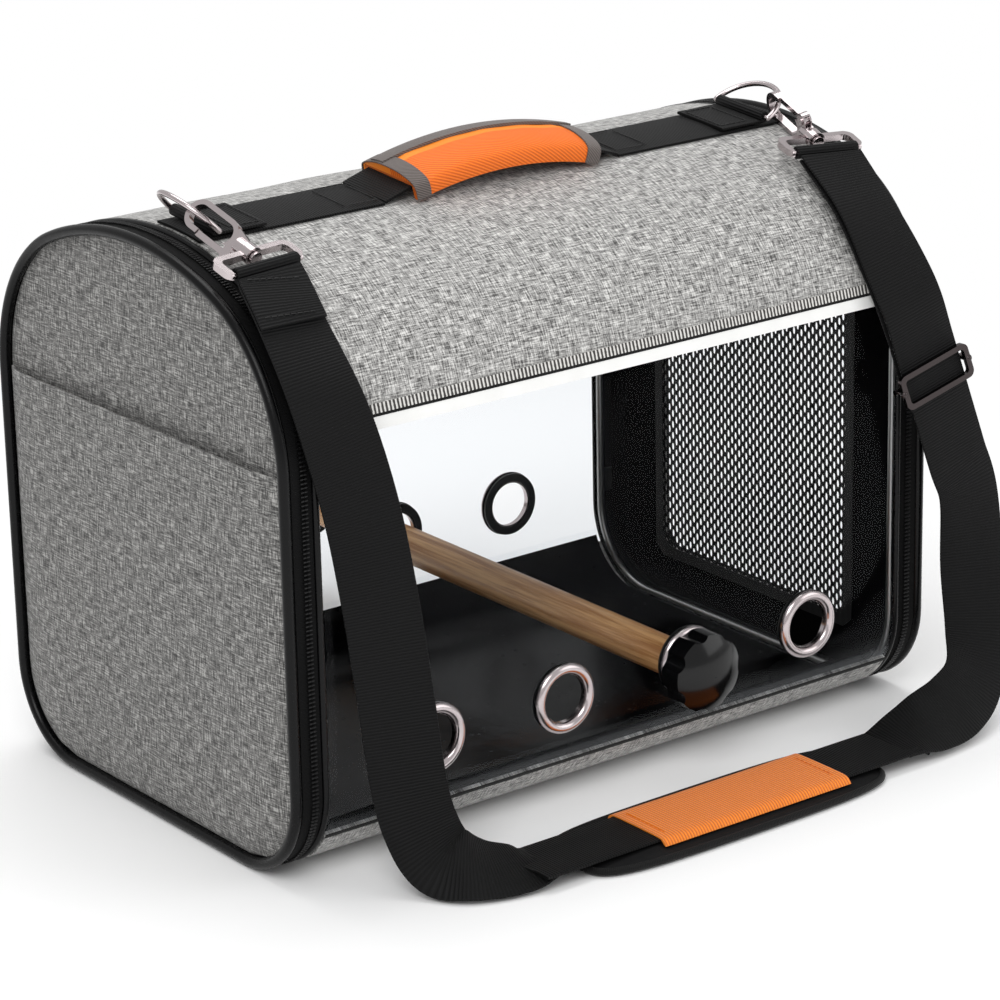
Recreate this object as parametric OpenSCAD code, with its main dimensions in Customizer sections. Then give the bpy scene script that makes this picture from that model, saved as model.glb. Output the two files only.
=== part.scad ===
// Soft-sided bird travel carrier, arched, with clear windows, a perch and a shoulder strap.
// X runs along the body, -Y is the front, +Z is up, and the origin is under its middle.

/* [Body] */
// Length over the pipings of both ends
body_l = 420; // [380:2:480]
// Depth over the front and back walls
body_d = 264; // [250:2:300]
// Height over the crown
body_h = 312; // [300:2:350]
// Radius of the crown of the arch
crown_r = 200; // [190:2:220]
// Radius of the two shoulders
shoulder_r = 90; // [80:1:100]
// Radius of the rounded bottom edges
foot_r = 50; // [40:1:56]

/* [Cloth] */
// Thickness of the padded cloth walls
cloth_t = 2; // [1.2:0.1:3]
// Thickness of the clear window sheet
clear_t = 1; // [0.6:0.1:1.4]
// Thickness of the inner lining
lining_t = 0.8; // [0.5:0.1:1.2]
// Thickness of the binding tapes
tape_t = 1; // [0.6:0.1:1.2]
// Height of the bottom edge of the windows
window_low = 26; // [20:1:34]
// Height of the top edge of the windows
window_high = 239; // [226:1:250]
// Width of the bindings across the window edges
window_bind_w = 5; // [4:0.5:8]

/* [Ends] */
// Diameter of the piping round each end
piping_d = 6; // [4:0.5:7]
// Diameter of the piping where each end meets the walls
edge_piping_d = 4; // [3:0.5:5]
// Distance from the end to the edge of the walls
rim_w = 22; // [20:1:26]
// Diameter of the spring hoop inside each end
hoop_d = 4; // [3:0.5:5]
// Width of one row of zip coil
coil_w = 1.6; // [1.2:0.1:2]
// Gap between the two rows of zip coil
coil_gap = 1.6; // [1.4:0.1:2]
// Distance from the end to the middle of the zip
zip_x = 12.8; // [12:0.2:14]
// Widest opening angle of the doors
door_open = 90; // [60:5:90]

/* [Pocket and mesh] */
// Height of the top edge of the pocket
pocket_h = 214; // [150:2:240]
// Clear depth of the pocket
pocket_gap = 4.4; // [4.2:0.1:6]
// Width of the mesh opening
mesh_w = 160; // [120:2:180]
// Height of the bottom edge of the mesh
mesh_low = 32; // [26:1:50]
// Height of the top of the mesh
mesh_high = 274; // [240:2:284]
// Spacing of the net's holes
net_pitch = 17; // [15:1:24]
// Width of one hole of the net
net_hole = 11; // [8:0.5:13]

/* [Floor] */
// Thickness of the base board
board_t = 2.5; // [2:0.1:4]
// Thickness of the wipe-clean mat
mat_t = 1.5; // [1:0.1:2.5]
// Height of the mat's turned-up edges
mat_lip = 29; // [22:1:36]

/* [Eyelets and perch] */
// Number of eyelets in each window
eyelet_n = 4; // [2:2:4]
// Spacing of the eyelets
eyelet_pitch = 83; // [70:1:90]
// Height of the eyelet centres
eyelet_z = 62; // [58:1:80]
// Radius of an eyelet's hole
eyelet_r = 13; // [12:0.5:14]
// Outer radius of an eyelet
eyelet_rim_r = 19; // [17:0.5:21]
// Diameter of the perch
perch_d = 20.5; // [16:0.5:22]
// How far the perch stands out behind the body
perch_out = 82; // [40:1:90]
// Diameter of the perch knobs
knob_d = 42; // [36:1:48]
// Thickness of the perch knobs
knob_t = 19; // [15:1:22]
// Diameter of the studs in the ends of the perch
stud_d = 6; // [5:0.5:8]

/* [Ridge and handle] */
// Width of all the webbing
webbing_w = 38; // [30:1:40]
// Thickness of the webbing
webbing_t = 1.6; // [1.2:0.1:2]
// How far the ridge webbing sits in front of the crest
ridge_y = 16; // [0:1:20]
// Length of the loose handle webbing
handle_l = 150; // [140:2:180]
// How far the handle arches above the ridge
handle_rise = 13; // [10:1:20]
// Length of the handle pad
handle_pad_l = 118; // [100:2:132]
// Width of the handle pad
handle_pad_w = 46; // [44:1:52]
// Thickness of the handle pad
handle_pad_t = 6; // [5:0.5:8]

/* [Rings and hooks] */
// Distance of each ring's bar from the middle of the body
ring_x = 178; // [172:1:182]
// Wire of the D-rings
ring_wire = 3; // [2.6:0.1:4]
// Clear width of the D-rings
ring_w = 40; // [38:1:44]
// Depth of the D-rings from bar to bow
ring_depth = 21; // [18:1:26]
// Lean of the near ring from upright
near_lean = 45; // [20:5:70]
// Lean of the far ring from upright
far_lean = 62; // [20:1:70]
// Wire of the hooks' strap loops
loop_wire = 3.6; // [3:0.1:4]
// Thickness of the hooks
hook_t = 4.5; // [4:0.5:6]
// Radius of the swivel pins
swivel_r = 2; // [1.6:0.1:2.4]
// Radial clearance of every turning fit
fit = 0.06; // [0.03:0.01:0.1]

/* [Strap] */
// Wire of the slider
slider_wire = 3; // [2.6:0.1:3.4]
// Clear height of the slider
slider_h = 14; // [12:1:20]
// Length of the shoulder pad
pad_l = 200; // [150:2:204]
// Width of the shoulder pad
pad_w = 62; // [50:1:70]
// Thickness of the shoulder pad
pad_t = 6.5; // [5:0.5:6.5]
// Length of the sleeve on the pad
sleeve_l = 126; // [90:2:140]
// Width of the sleeve
sleeve_w = 46; // [44:1:50]

/* [Hidden] */
$fn = 48;
half_l = body_l / 2;
half_d = body_d / 2;
crown_z = body_h - crown_r;
shoulder_y = half_d - shoulder_r;
shoulder_z = crown_z + sqrt(pow(crown_r - shoulder_r, 2) - pow(shoulder_y, 2));
crown_a = asin(shoulder_y / (crown_r - shoulder_r));
// The clearances between pieces that are sewn or riveted together, and between loose ones
seam = 0.1;
gap = 0.3;
// How far the cloth and the window sheet lie inside the outline
cloth_in = 0.3;
clear_in = 0.6;
lining_in = cloth_in + cloth_t + seam;
door_in = 4.5;
coil_deep = 1.6;
// Places along the body, measured from its middle
wall_x = half_l - rim_w;
edge_x = wall_x + edge_piping_d / 2;
zip_at = half_l - zip_x;
door_face = half_l - piping_d - 0.4;
door_inner = door_face - cloth_t - seam;
hinge_w = 2 * (half_d - foot_r) - 4;
hoop_in = edge_piping_d + hoop_d / 2 + seam;
door_board_t = 1.4;
pocket_t = 1.2;
pocket_in = piping_d + seam;
mesh_arch_r = 95;
mesh_arch_z = mesh_high - mesh_arch_r;
net_t = 0.8;
sew_w = 6;
// Zip sliders, their bars and pulls
slider_w = 8;
slider_l = 14;
slider_z = 62;
plate_t = 1.2;
blade_t = 0.8;
bail_wire = 2.1;
pull_w = 7;
pull_l = 27;
pull_t = 1.6;
pull_ear = 2.8;
bail_y = half_d + 0.4 + plate_t + pull_ear / 2 + 1;
// Eyelets, perch and knobs
window_y = half_d - clear_in;
perch_x = eyelet_pitch / 2;
perch_z = eyelet_z - eyelet_r + perch_d / 2 + 0.05;
perch_front = half_d + 1.5;
perch_back = half_d + perch_out;
knob_front = window_y + (eyelet_rim_r - eyelet_r) / 2 + 0.4;
knob_back = perch_back + 0.8;
stud_in = 15;
stud_out = 12.5;
// The ridge leans forward with the crown, and its heights are over the crown
ridge_a = asin(ridge_y / crown_r);
strip_x = handle_l / 2 + 1;
arch_r = (pow(handle_l / 2, 2) + pow(handle_rise, 2)) / (2 * handle_rise);
arch_a = asin(handle_l / 2 / arch_r);
pad_a = asin(handle_pad_l / 2 / arch_r);
skirt_h = 7;
crest_r = 65;
binding_t = 0.8;
binding_end = 10;
tab_l = 30;
tab_r = ring_wire / 2 + fit + webbing_t;
bar_z = webbing_t + 0.05 + tab_r;
bow_r = (ring_w + ring_wire) / 2;
// Where each hook's eye holds its ring, as an angle round the bow, and how each hook lies
near_clip = 148;
far_clip = 152;
hook_l = 51;
near_run = [-5, 54, 18];
far_run = [10, 58, 17];
near_spin = -45;
far_spin = 75;
eye_r = 5.6;
eye_foot = 32;
hook_rim = 2.7;
gate_u = 22;
gate_v = 7;
gate_l = 23.6;
gate_t = 2.8;
gate_w = 3.2;
rivet_d = 2.8;
loop_w = webbing_w + 5.6;
loop_rise = 13;
boss_r = 5;
boss_u = [9.5, 16];
barrel_r = 4.5;
near_eye = bow_point(-ring_x, -near_lean, near_clip);
far_eye = bow_point(ring_x, far_lean, far_clip);
near_bar = near_eye - hook_l * unit(near_run);
far_bar = far_eye - hook_l * unit(far_run);
near_frame = turned(near_bar, near_run, [1, 0, 0]);
far_frame = turned(far_bar, far_run, [1, 0, 0]);
wrap_r = loop_wire / 2 + 0.05 + webbing_t;
// The shoulder strap lies from the near hook along the floor and up to the far hook:
// each point with the direction across the webbing there
near_route = [
    [[-186, -111, 284], [1, 0, 0]], [[-184, -135, 250], [0.97, -0.2, 0]],
    [[-172, -141, 200], [0.93, -0.35, 0]], [[-164, -144, 150], [0.88, -0.47, 0]],
    [[-160, -149, 100], [0.85, -0.52, 0]], [[-158, -156, 52], [0.82, -0.57, 0.05]],
    [[-156, -164, 30], [0.8, -0.5, 0.25]], [[-152, -173, 18], [0.68, -0.1, 0.6]],
    [[-143, -181, 15], [0.42, 0.55, 0.62]], [[-128, -185, 10.5], [0.12, 0.85, 0.45]],
    [[-112, -187, 8], [0, 0.96, 0.25]], [[-103, -188, 7.7], [0, 1, 0]],
    [[-95, -188, 7.7], [0, 1, 0]]
];
far_route = [
    [[124, -188, 7.7], [0, 1, 0]], [[132, -188, 7.7], [0, 1, 0]],
    [[146, -189, 11], [-0.05, 0.96, 0.22]], [[160, -191, 14.5], [-0.15, 0.8, 0.5]],
    [[178, -191, 19], [-0.35, 0.65, 0.7]],
    [[197, -185, 28], [-0.55, 0.45, 0.7]], [[212, -172, 48], [-0.8, 0.45, 0.35]],
    [[219, -160, 80], [-0.93, 0.33, 0.1]]
];
top_route = [[[183, -135, 250], [-0.97, 0.1, -0.2]], [[178, -116, 281], [-1, 0, 0]]];
// The straight stretch that the slider runs on, and the slider's place on it
slide_from = [220, -155, 120];
slide_to = [187, -144, 230];
slide_across = [-0.95, 0.1, -0.295];
slide_steps = 5;
slider_at = [199, -148, 190];
slide_run = unit(slide_to - slide_from);
slide_out = unit(cross(slide_run, slide_across));
frame_lift = webbing_t / 2 + 0.25 + slider_wire / 2;
bar_wrap = slider_wire / 2 + 0.05 + webbing_t;
bar_lift = webbing_t / 2 + 0.25 + bar_wrap;
slider_half = webbing_w / 2 + 1 + slider_wire / 2;
return_route = [
    [[190.4, -141.4, 220], [-0.95, 0.1, -0.295]], [[183.3, -132.4, 249], [-0.97, 0.1, -0.2]],
    [[177.5, -113.8, 279], [-1, 0, 0]]
];
ply_gap = 0.1;
tail_rings = 3;
tail_gap = 0.5;
near_lie = unit(near_route[0][0] - near_bar);
near_across = [for (k = [0 : 2]) near_frame[k][1]];
far_across = [for (k = [0 : 2]) -far_frame[k][1]];
near_out = unit(cross(near_lie, near_across));
far_lie = unit(far_bar - top_route[1][0]);
far_out = unit(cross(far_lie, far_across));
ply_from = wrap_r + 0.6;
ply_side = webbing_t / 2 + ply_gap / 2;
strap_route = concat(
    [[near_bar + ply_from * near_lie - ply_side * near_out, near_across]],
    near_route, far_route,
    [for (i = [0 : slide_steps]) [slide_from + (slide_to - slide_from) * i / slide_steps, slide_across]],
    top_route,
    [[far_bar - ply_from * far_lie + 2 * ply_side * far_out, far_across]]
);
// The shoulder pad lies on the floor under the strap
pad_x = 15;
pad_y = -188;
pad_z = 0.3;
pad_round = 14;
pad_crest_r = 150;
sleeve_x = 22;
sleeve_t = 1;
sleeve_low = pad_z + pad_t - 0.25;
strap_flat_z = 7.7;

function unit(v) = v / norm(v);

// A place on the ridge, from its distance along, across and above the crown
function ridge_point(x, y, z) = [
    x, y * cos(ridge_a) - (crown_r + z) * sin(ridge_a),
    crown_z + y * sin(ridge_a) + (crown_r + z) * cos(ridge_a)
];

// A place on the bow of a ring that leans
function bow_point(x, lean, turn) = ridge_point(
    x + bow_r * sin(turn) * sin(lean), bow_r * cos(turn), bar_z + bow_r * sin(turn) * cos(lean));

// A rigid frame at o whose x runs along u and whose y lies as near w as it can
function turned(o, u, w) = let (a = unit(u), c = unit(cross(a, w)), b = cross(c, a))
    [[a.x, b.x, c.x, o.x], [a.y, b.y, c.y, o.y], [a.z, b.z, c.z, o.z], [0, 0, 0, 1]];

// A smooth curve through a list of points or directions, with m steps between each two
function smooth(p, m) = concat(
    [for (i = [0 : len(p) - 2], j = [0 : m - 1])
        let (a = p[max(i - 1, 0)], b = p[i], c = p[i + 1], d = p[min(i + 2, len(p) - 1)], s = j / m)
        (2 * b + (c - a) * s + (2 * a - 5 * b + 4 * c - d) * s * s
            + (3 * b - a - 3 * c + d) * s * s * s) / 2],
    [p[len(p) - 1]]);

function places(route) = [for (r = route) r[0]];
function widths(route) = [for (r = route) r[1]];

// The four corners of one ring of a band at p that runs along t with its width along w, or nearly so
function band_ring(p, t, w, lift, is_end) = let (
    n = unit(cross(t, w)), a = is_end ? unit(w) : cross(n, t), q = p + lift * n)
    [for (s = [[1, 1], [-1, 1], [-1, -1], [1, -1]]) q + a * s[0] * webbing_w / 2 + n * s[1] * webbing_t / 2];

// A flat band of webbing along its places p and widths w, moved outward by lift
module band(p, w, lift = 0) {
    n = len(p);
    runs = [for (i = [0 : n - 1]) unit(p[min(i + 1, n - 1)] - p[max(i - 1, 0)])];
    corners = [for (i = [0 : n - 1]) each band_ring(p[i], runs[i], w[i], lift, i == 0 || i == n - 1)];
    ends = [[0, 1, 2], [0, 2, 3], [4 * n - 2, 4 * n - 3, 4 * n - 4], [4 * n - 1, 4 * n - 2, 4 * n - 4]];
    sides = [for (i = [0 : n - 2], k = [0 : 3])
        let (a = 4 * i + k, b = 4 * i + (k + 1) % 4)
        each k < 2 ? [[a, a + 4, b + 4], [a, b + 4, b]] : [[a, a + 4, b], [a + 4, b + 4, b]]];
    polyhedron(corners, concat(ends, sides));
}

// A round rod from p to q
module rod(p, q, d) {
    multmatrix(turned(p, q - p, [0.31, 0.27, 0.91])) rotate([0, 90, 0]) cylinder(h = norm(q - p), d = d);
}

// A bent wire through a list of points
module wire(points, d) {
    for (i = [1 : len(points) - 1]) rod(points[i - 1], points[i], d);
    for (p = points) translate(p) sphere(d = d);
}

// Both ends of the body
module at_ends() {
    children();
    mirror([1, 0, 0]) children();
}

// Both of the long walls
module at_walls() {
    children();
    mirror([0, 1, 0]) children();
}

// The frame in which x is the body's Y, y its Z and z its X
module end_view() {
    rotate([90, 0, 90]) children();
}

// Sweeps a section round the outline: its x is the distance outward and its y lies along the body
module round_outline() {
    end_view() {
        translate([0, crown_z, 0]) rotate([0, 0, 90 - crown_a])
            rotate_extrude(angle = 2 * crown_a) translate([crown_r, 0]) children();
        for (m = [0, 1]) mirror([m, 0, 0]) {
            translate([shoulder_y, shoulder_z, 0])
                rotate_extrude(angle = 90 - crown_a) translate([shoulder_r, 0]) children();
            translate([0, shoulder_z, 0]) rotate([90, 0, 0])
                linear_extrude(shoulder_z - foot_r) translate([half_d, 0]) children();
            translate([half_d - foot_r, foot_r, 0]) rotate([0, 0, -90])
                rotate_extrude(angle = 90) translate([foot_r, 0]) children();
        }
        translate([half_d - foot_r, 0, 0]) rotate([0, 0, -90]) rotate([90, 0, 0])
            linear_extrude(2 * (half_d - foot_r)) children();
    }
}

// A skin of the outline from one depth inside it to another, between two places along the body
module skin(from, to, x0, x1) {
    round_outline() translate([-to, x0]) square([to - from, x1 - x0]);
}

// Points on an arc about (y, z), from one angle to another, in steps of about step degrees
function arc(y, z, r, from, to, step = 3) = let (n = max(1, ceil(abs(to - from) / step)))
    [for (i = [0 : n]) let (t = from + (to - from) * i / n) [y + r * cos(t), z + r * sin(t)]];

// The outline drawn in by some distance, as points in the end view
function outline_points(inset) = let (side = half_d - foot_r) concat(
    arc(side, foot_r, foot_r - inset, -90, 0),
    arc(shoulder_y, shoulder_z, shoulder_r - inset, 0, 90 - crown_a),
    arc(0, crown_z, crown_r - inset, 92 - crown_a, 88 + crown_a),
    arc(-shoulder_y, shoulder_z, shoulder_r - inset, 90 + crown_a, 180),
    arc(-side, foot_r, foot_r - inset, 180, 270));

// A solid slab of the outline, drawn in by some distance, between two places along the body
module slab(inset, x0, x1) {
    end_view() translate([0, 0, x0]) linear_extrude(x1 - x0) polygon(outline_points(inset));
}

// A box over the whole body between two heights
module level(z0, z1) {
    translate([-half_l - 20, -half_d - 20, z0]) cube([body_l + 40, body_d + 40, z1 - z0]);
}

// The flat strip at the foot of an end, where the door hinges
module hinge_zone() {
    translate([-half_l - 1, -hinge_w / 2, -1]) cube([rim_w + 2, hinge_w, 6]);
}

// The ridge's own frame, upright on the crown
module on_ridge() {
    translate([0, 0, crown_z]) rotate([ridge_a, 0, 0]) translate([0, 0, crown_r]) children();
}

// Sweeps a section along the handle's arch: its x is the height over the underside
module along_arch(half_angle) {
    on_ridge() translate([0, 0, handle_rise - arch_r]) rotate([90, 0, 0])
        rotate([0, 0, 90 - half_angle]) rotate_extrude(angle = 2 * half_angle)
            translate([arch_r, 0]) children();
}

module roof_panel() {
    color("#b4b4b0") intersection() {
        skin(cloth_in, cloth_in + cloth_t, -wall_x + seam, wall_x - seam);
        level(window_high, body_h);
    }
}

module roof_lining() {
    color("#1d1d1d") intersection() {
        skin(lining_in, lining_in + lining_t, -wall_x + 4, wall_x - 4);
        level(window_high, body_h);
    }
}

// One window sheet on the front wall, with its eyelet holes
module window_sheet() {
    difference() {
        intersection() {
            skin(clear_in, clear_in + clear_t, -wall_x + seam, wall_x - seam);
            translate([-half_l, -half_d, window_low - 0.8]) cube([body_l, half_d, window_high - window_low + 0.6]);
        }
        for (i = [0 : eyelet_n - 1]) translate([eyelet_x(i), 0, eyelet_z]) rotate([90, 0, 0])
            cylinder(h = half_d + 5, r = eyelet_r + 1.05);
    }
}

function eyelet_x(i) = (i - (eyelet_n - 1) / 2) * eyelet_pitch;

module front_window() {
    color("#dfe6ea", 0.5) window_sheet();
}

module back_window() {
    color("#dfe6ea", 0.5) mirror([0, 1, 0]) window_sheet();
}

// The bindings cover the cut edges of both windows from outside
module window_bindings() {
    color("#3a3a3a") for (z = [window_low - 1, window_high]) intersection() {
        skin(-0.6, -0.05, -wall_x + seam, wall_x - seam);
        level(z - window_bind_w / 2, z + window_bind_w / 2);
    }
}

module floor_panel() {
    color("#a8a8a4") intersection() {
        skin(0, cloth_in + cloth_t, -wall_x + seam, wall_x - seam);
        level(-1, window_low - 1);
    }
}

module base_board() {
    color("#6b6b68") translate([5 - wall_x, foot_r - half_d, lining_in])
        cube([2 * wall_x - 10, 2 * (half_d - foot_r), board_t]);
}

module floor_mat() {
    color("#151515") intersection() {
        skin(lining_in + board_t + seam, lining_in + board_t + seam + mat_t, 5 - wall_x, wall_x - 5);
        level(0, mat_lip);
    }
}

// One eyelet at the origin, facing up: a half-round rim and a barrel through the sheet
module eyelet() {
    rim = (eyelet_rim_r - eyelet_r) / 2;
    rotate_extrude() {
        translate([eyelet_r + rim, 0.05]) intersection() {
            circle(r = rim);
            translate([-rim, 0]) square([2 * rim, rim]);
        }
        translate([eyelet_r, -clear_t - 1.2]) square([1, clear_t + 1.7]);
    }
}

module front_eyelets() {
    color("#151515") for (i = [0 : eyelet_n - 1])
        translate([eyelet_x(i), -window_y, eyelet_z]) rotate([90, 0, 0]) eyelet();
}

module back_eyelets() {
    color("#151515") mirror([0, 1, 0]) for (i = [0 : eyelet_n - 1])
        translate([eyelet_x(i), -window_y, eyelet_z]) rotate([90, 0, 0]) eyelet();
}

module eyelet_washers() {
    color("#1b1b1b") at_walls() for (i = [0 : eyelet_n - 1])
        translate([eyelet_x(i), -window_y, eyelet_z]) rotate([90, 0, 0]) rotate_extrude()
            translate([eyelet_r + 1.05, -clear_t - 1.6]) square([eyelet_rim_r - eyelet_r - 1.55, 1.1]);
}

module end_hoops() {
    color("#8a8a86") at_ends() round_outline() translate([-hoop_in, -edge_x]) circle(d = hoop_d);
}

module edge_pipings() {
    color("#141414") at_ends() round_outline()
        translate([-edge_piping_d / 2, -edge_x]) circle(d = edge_piping_d);
}

// The fixed zip tape, which runs on under the door as its sewn hinge
module frame_zip_tapes() {
    color("#181818") at_ends() {
        skin(coil_deep, coil_deep + tape_t, -zip_at + coil_gap / 2, -wall_x - edge_piping_d - seam);
        translate([-half_l + piping_d + 0.6, -hinge_w / 2, coil_deep])
            cube([zip_x - piping_d + 1, hinge_w, tape_t]);
    }
}

module frame_zip_coils() {
    color("#0f0f0f") at_ends() difference() {
        skin(0, coil_deep, -zip_at + coil_gap / 2, -zip_at + coil_gap / 2 + coil_w);
        hinge_zone();
    }
}

// A door's zip tape, open along its hinge
module door_tape() {
    difference() {
        skin(coil_deep, coil_deep + tape_t, -half_l + piping_d + seam, -zip_at - coil_gap / 2);
        hinge_zone();
    }
}

// A door's row of coil, which starts above the parked slider
module door_coil() {
    difference() {
        skin(0, coil_deep, -zip_at - coil_gap / 2 - coil_w, -zip_at - coil_gap / 2);
        hinge_zone();
        translate([-half_l, 0, -1]) cube([rim_w, half_d + 5, slider_z + slider_l / 2 + 6]);
    }
}

module door_piping() {
    round_outline() translate([-piping_d / 2, -half_l + piping_d / 2]) circle(d = piping_d);
}

module near_door_panel() {
    color("#8d8d8b") slab(door_in, -door_face, -door_face + cloth_t);
}

module near_door_board() {
    color("#2a2a2a") slab(door_in + seam, -door_inner, -door_inner + door_board_t);
}

// The flat pocket on the near door, open at its top
module near_pocket() {
    color("#8d8d8b") intersection() {
        difference() {
            slab(pocket_in, -door_face - pocket_gap - pocket_t, -door_face - 0.05);
            slab(pocket_in + pocket_t, -door_face - pocket_gap, -door_face + 1);
        }
        level(0, pocket_h);
    }
}

module near_piping() {
    color("#101010") door_piping();
}

module near_door_tape() {
    color("#181818") door_tape();
}

module near_door_coil() {
    color("#0f0f0f") door_coil();
}

// The arched mesh opening, grown by some distance
module mesh_outline(grow) {
    side = mesh_w / 2 + grow;
    bow = mesh_arch_r + grow;
    translate([-side, mesh_low - grow])
        square([2 * side, mesh_arch_z + sqrt(bow * bow - side * side) - mesh_low + grow]);
    intersection() {
        translate([0, mesh_arch_z]) circle(r = bow);
        translate([-side, mesh_arch_z]) square([2 * side, bow]);
    }
}

module mesh_cutter(x0, x1) {
    end_view() translate([0, 0, x0]) linear_extrude(x1 - x0) mesh_outline(0);
}

module far_door_panel() {
    color("#b0b0ac") difference() {
        slab(door_in, door_face - cloth_t, door_face);
        mesh_cutter(door_face - cloth_t - 1, door_face + 1);
    }
}

module far_door_lining() {
    color("#1d1d1d") difference() {
        slab(door_in + seam, door_inner - net_t - seam - lining_t, door_inner - net_t - seam);
        mesh_cutter(door_inner - net_t - lining_t - 1, door_inner);
    }
}

// The net has staggered rows of six-sided holes, clear of its sewn edge
module far_mesh() {
    row_h = net_pitch * sqrt(3) / 2;
    rows = floor((mesh_high - mesh_low) / row_h);
    half = ceil(mesh_w / net_pitch / 2);
    edge = net_hole / 2 + 1;
    color("#0d0d0d") end_view() translate([0, 0, door_inner - net_t]) linear_extrude(net_t) difference() {
        mesh_outline(sew_w);
        for (j = [0 : rows], i = [-half : half])
            let (y = (i + (j % 2) / 2) * net_pitch, z = mesh_low + edge + j * row_h)
            if (abs(y) < mesh_w / 2 - edge && z < mesh_high - edge
                && (z < mesh_arch_z || norm([y, z - mesh_arch_z]) < mesh_arch_r - edge))
                translate([y, z]) rotate(30) circle(d = net_hole, $fn = 6);
    }
}

module far_piping() {
    color("#101010") mirror([1, 0, 0]) door_piping();
}

module far_door_tape() {
    color("#181818") mirror([1, 0, 0]) door_tape();
}

module far_door_coil() {
    color("#0f0f0f") mirror([1, 0, 0]) door_coil();
}

// A zip slider astride both rows of coil on the back wall, with the bar for its pull
module zip_slider() {
    x0 = -zip_at - slider_w / 2;
    z0 = slider_z - slider_l / 2;
    top = half_d + 0.4;
    bottom = half_d - coil_deep - tape_t - 0.4 - plate_t;
    post_x = pull_ear / 2 + 0.2;
    difference() {
        union() {
            translate([x0, top, z0]) cube([slider_w, plate_t, slider_l]);
            translate([x0, bottom, z0]) cube([slider_w, plate_t, slider_l]);
            translate([-zip_at - blade_t / 2, bottom + plate_t / 2, z0 + slider_l - 5])
                cube([blade_t, top - bottom, 5]);
            for (x = [x0, x0 + slider_w - plate_t]) translate([x, half_d - 1.2, z0])
                cube([plate_t, 2, slider_l]);
            for (s = [-1, 1]) translate([-zip_at + s * (post_x + 0.6) - 0.6, top + 0.5, slider_z + 0.4])
                cube([1.2, bail_y - top + 0.6, 3.2]);
            translate([-zip_at - post_x - 0.6, bail_y, slider_z + 2]) rotate([0, 90, 0])
                cylinder(h = 2 * post_x + 1.2, d = bail_wire);
        }
        translate([x0 - 1, top - 1, z0 - 1]) cube([1, 1, 1]);
    }
}

// A zip pull that hangs on its slider's bar
module zip_pull() {
    z = slider_z + 2;
    difference() {
        union() {
            translate([-zip_at - pull_ear / 2, bail_y, z]) rotate([0, 90, 0]) cylinder(h = pull_ear, r = 2.1);
            translate([-zip_at - pull_ear / 2, bail_y - pull_t / 2, z - 5]) cube([pull_ear, pull_t, 5]);
            translate([-zip_at - pull_w / 2, bail_y - pull_t / 2, z - pull_l]) cube([pull_w, pull_t, pull_l - 3.8]);
        }
        translate([-zip_at - 5, bail_y, z]) rotate([0, 90, 0]) cylinder(h = 10, r = bail_wire / 2 + fit);
        translate([-zip_at, bail_y + 2, z - pull_l + 5.5]) rotate([90, 0, 0]) cylinder(h = 4, r = 1.8);
    }
}

module near_zip_slider() {
    color("#202020") zip_slider();
}

module near_zip_pull() {
    color("#202020") zip_pull();
}

module far_zip_slider() {
    color("#202020") mirror([1, 0, 0]) zip_slider();
}

module far_zip_pull() {
    color("#202020") mirror([1, 0, 0]) zip_pull();
}

// The perch rests in the second pair of eyelets from the far end
module perch() {
    color("#b98a58") translate([perch_x, 0, perch_z]) difference() {
        translate([0, -perch_front, 0]) rotate([-90, 0, 0]) cylinder(h = perch_front + perch_back, d = perch_d);
        translate([0, -perch_front - 1, 0]) rotate([-90, 0, 0]) cylinder(h = stud_in + 1.1, d = stud_d + 0.02);
        translate([0, perch_back + 1, 0]) rotate([90, 0, 0]) cylinder(h = stud_in + 1.1, d = stud_d + 0.02);
    }
}

module perch_studs() {
    color("#b9bbbd") translate([perch_x, 0, perch_z]) {
        translate([0, stud_in - perch_front, 0]) rotate([90, 0, 0])
            cylinder(h = stud_in + knob_front - perch_front + stud_out, d = stud_d);
        translate([0, perch_back - stud_in, 0]) rotate([-90, 0, 0])
            cylinder(h = stud_in + knob_back - perch_back + stud_out, d = stud_d);
    }
}

// A domed knob with seven lobes, its back face at the origin and its bore up the middle
module knob() {
    dome = (pow(knob_d / 2, 2) + 36) / 12;
    difference() {
        intersection() {
            cylinder(h = knob_t, d = knob_d);
            translate([0, 0, knob_t - dome]) sphere(r = dome);
        }
        for (i = [0 : 6]) rotate([0, 0, i * 360 / 7]) translate([knob_d / 2 + 5, 0, -1])
            cylinder(h = knob_t + 2, r = 7);
        translate([0, 0, -1]) cylinder(h = stud_out + 1.2, d = stud_d + 2 * fit);
    }
}

module front_knob() {
    color("#0c0c0c") translate([perch_x, -knob_front, perch_z]) rotate([90, 0, 0]) knob();
}

module back_knob() {
    color("#0c0c0c") translate([perch_x, knob_back, perch_z]) rotate([-90, 0, 0]) knob();
}

// The webbing sewn flat along the ridge, either side of the handle
module ridge_webbing() {
    half = asin(webbing_w / 2 / crown_r);
    color("#161616") at_ends() translate([-wall_x + seam, 0, 0]) end_view()
        translate([0, crown_z, 0]) rotate([0, 0, 90 + ridge_a - half])
            rotate_extrude(angle = 2 * half)
                translate([crown_r, 0]) square([webbing_t, wall_x - seam - strip_x]);
}

// Short folds of webbing that hold the rings' bars
module ring_tabs() {
    color("#1b1b1b") at_ends() on_ridge() translate([-ring_x, 0, bar_z]) difference() {
        union() {
            rotate([90, 0, 0]) cylinder(h = webbing_w, r = tab_r, center = true);
            translate([0, -webbing_w / 2, -tab_r]) cube([tab_l, webbing_w, webbing_t]);
        }
        rotate([90, 0, 0]) cylinder(h = webbing_w + 2, r = tab_r - webbing_t, center = true);
    }
}

module handle_webbing() {
    color("#161616") along_arch(arch_a) translate([0, -webbing_w / 2]) square([webbing_t, webbing_w]);
}

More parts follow.
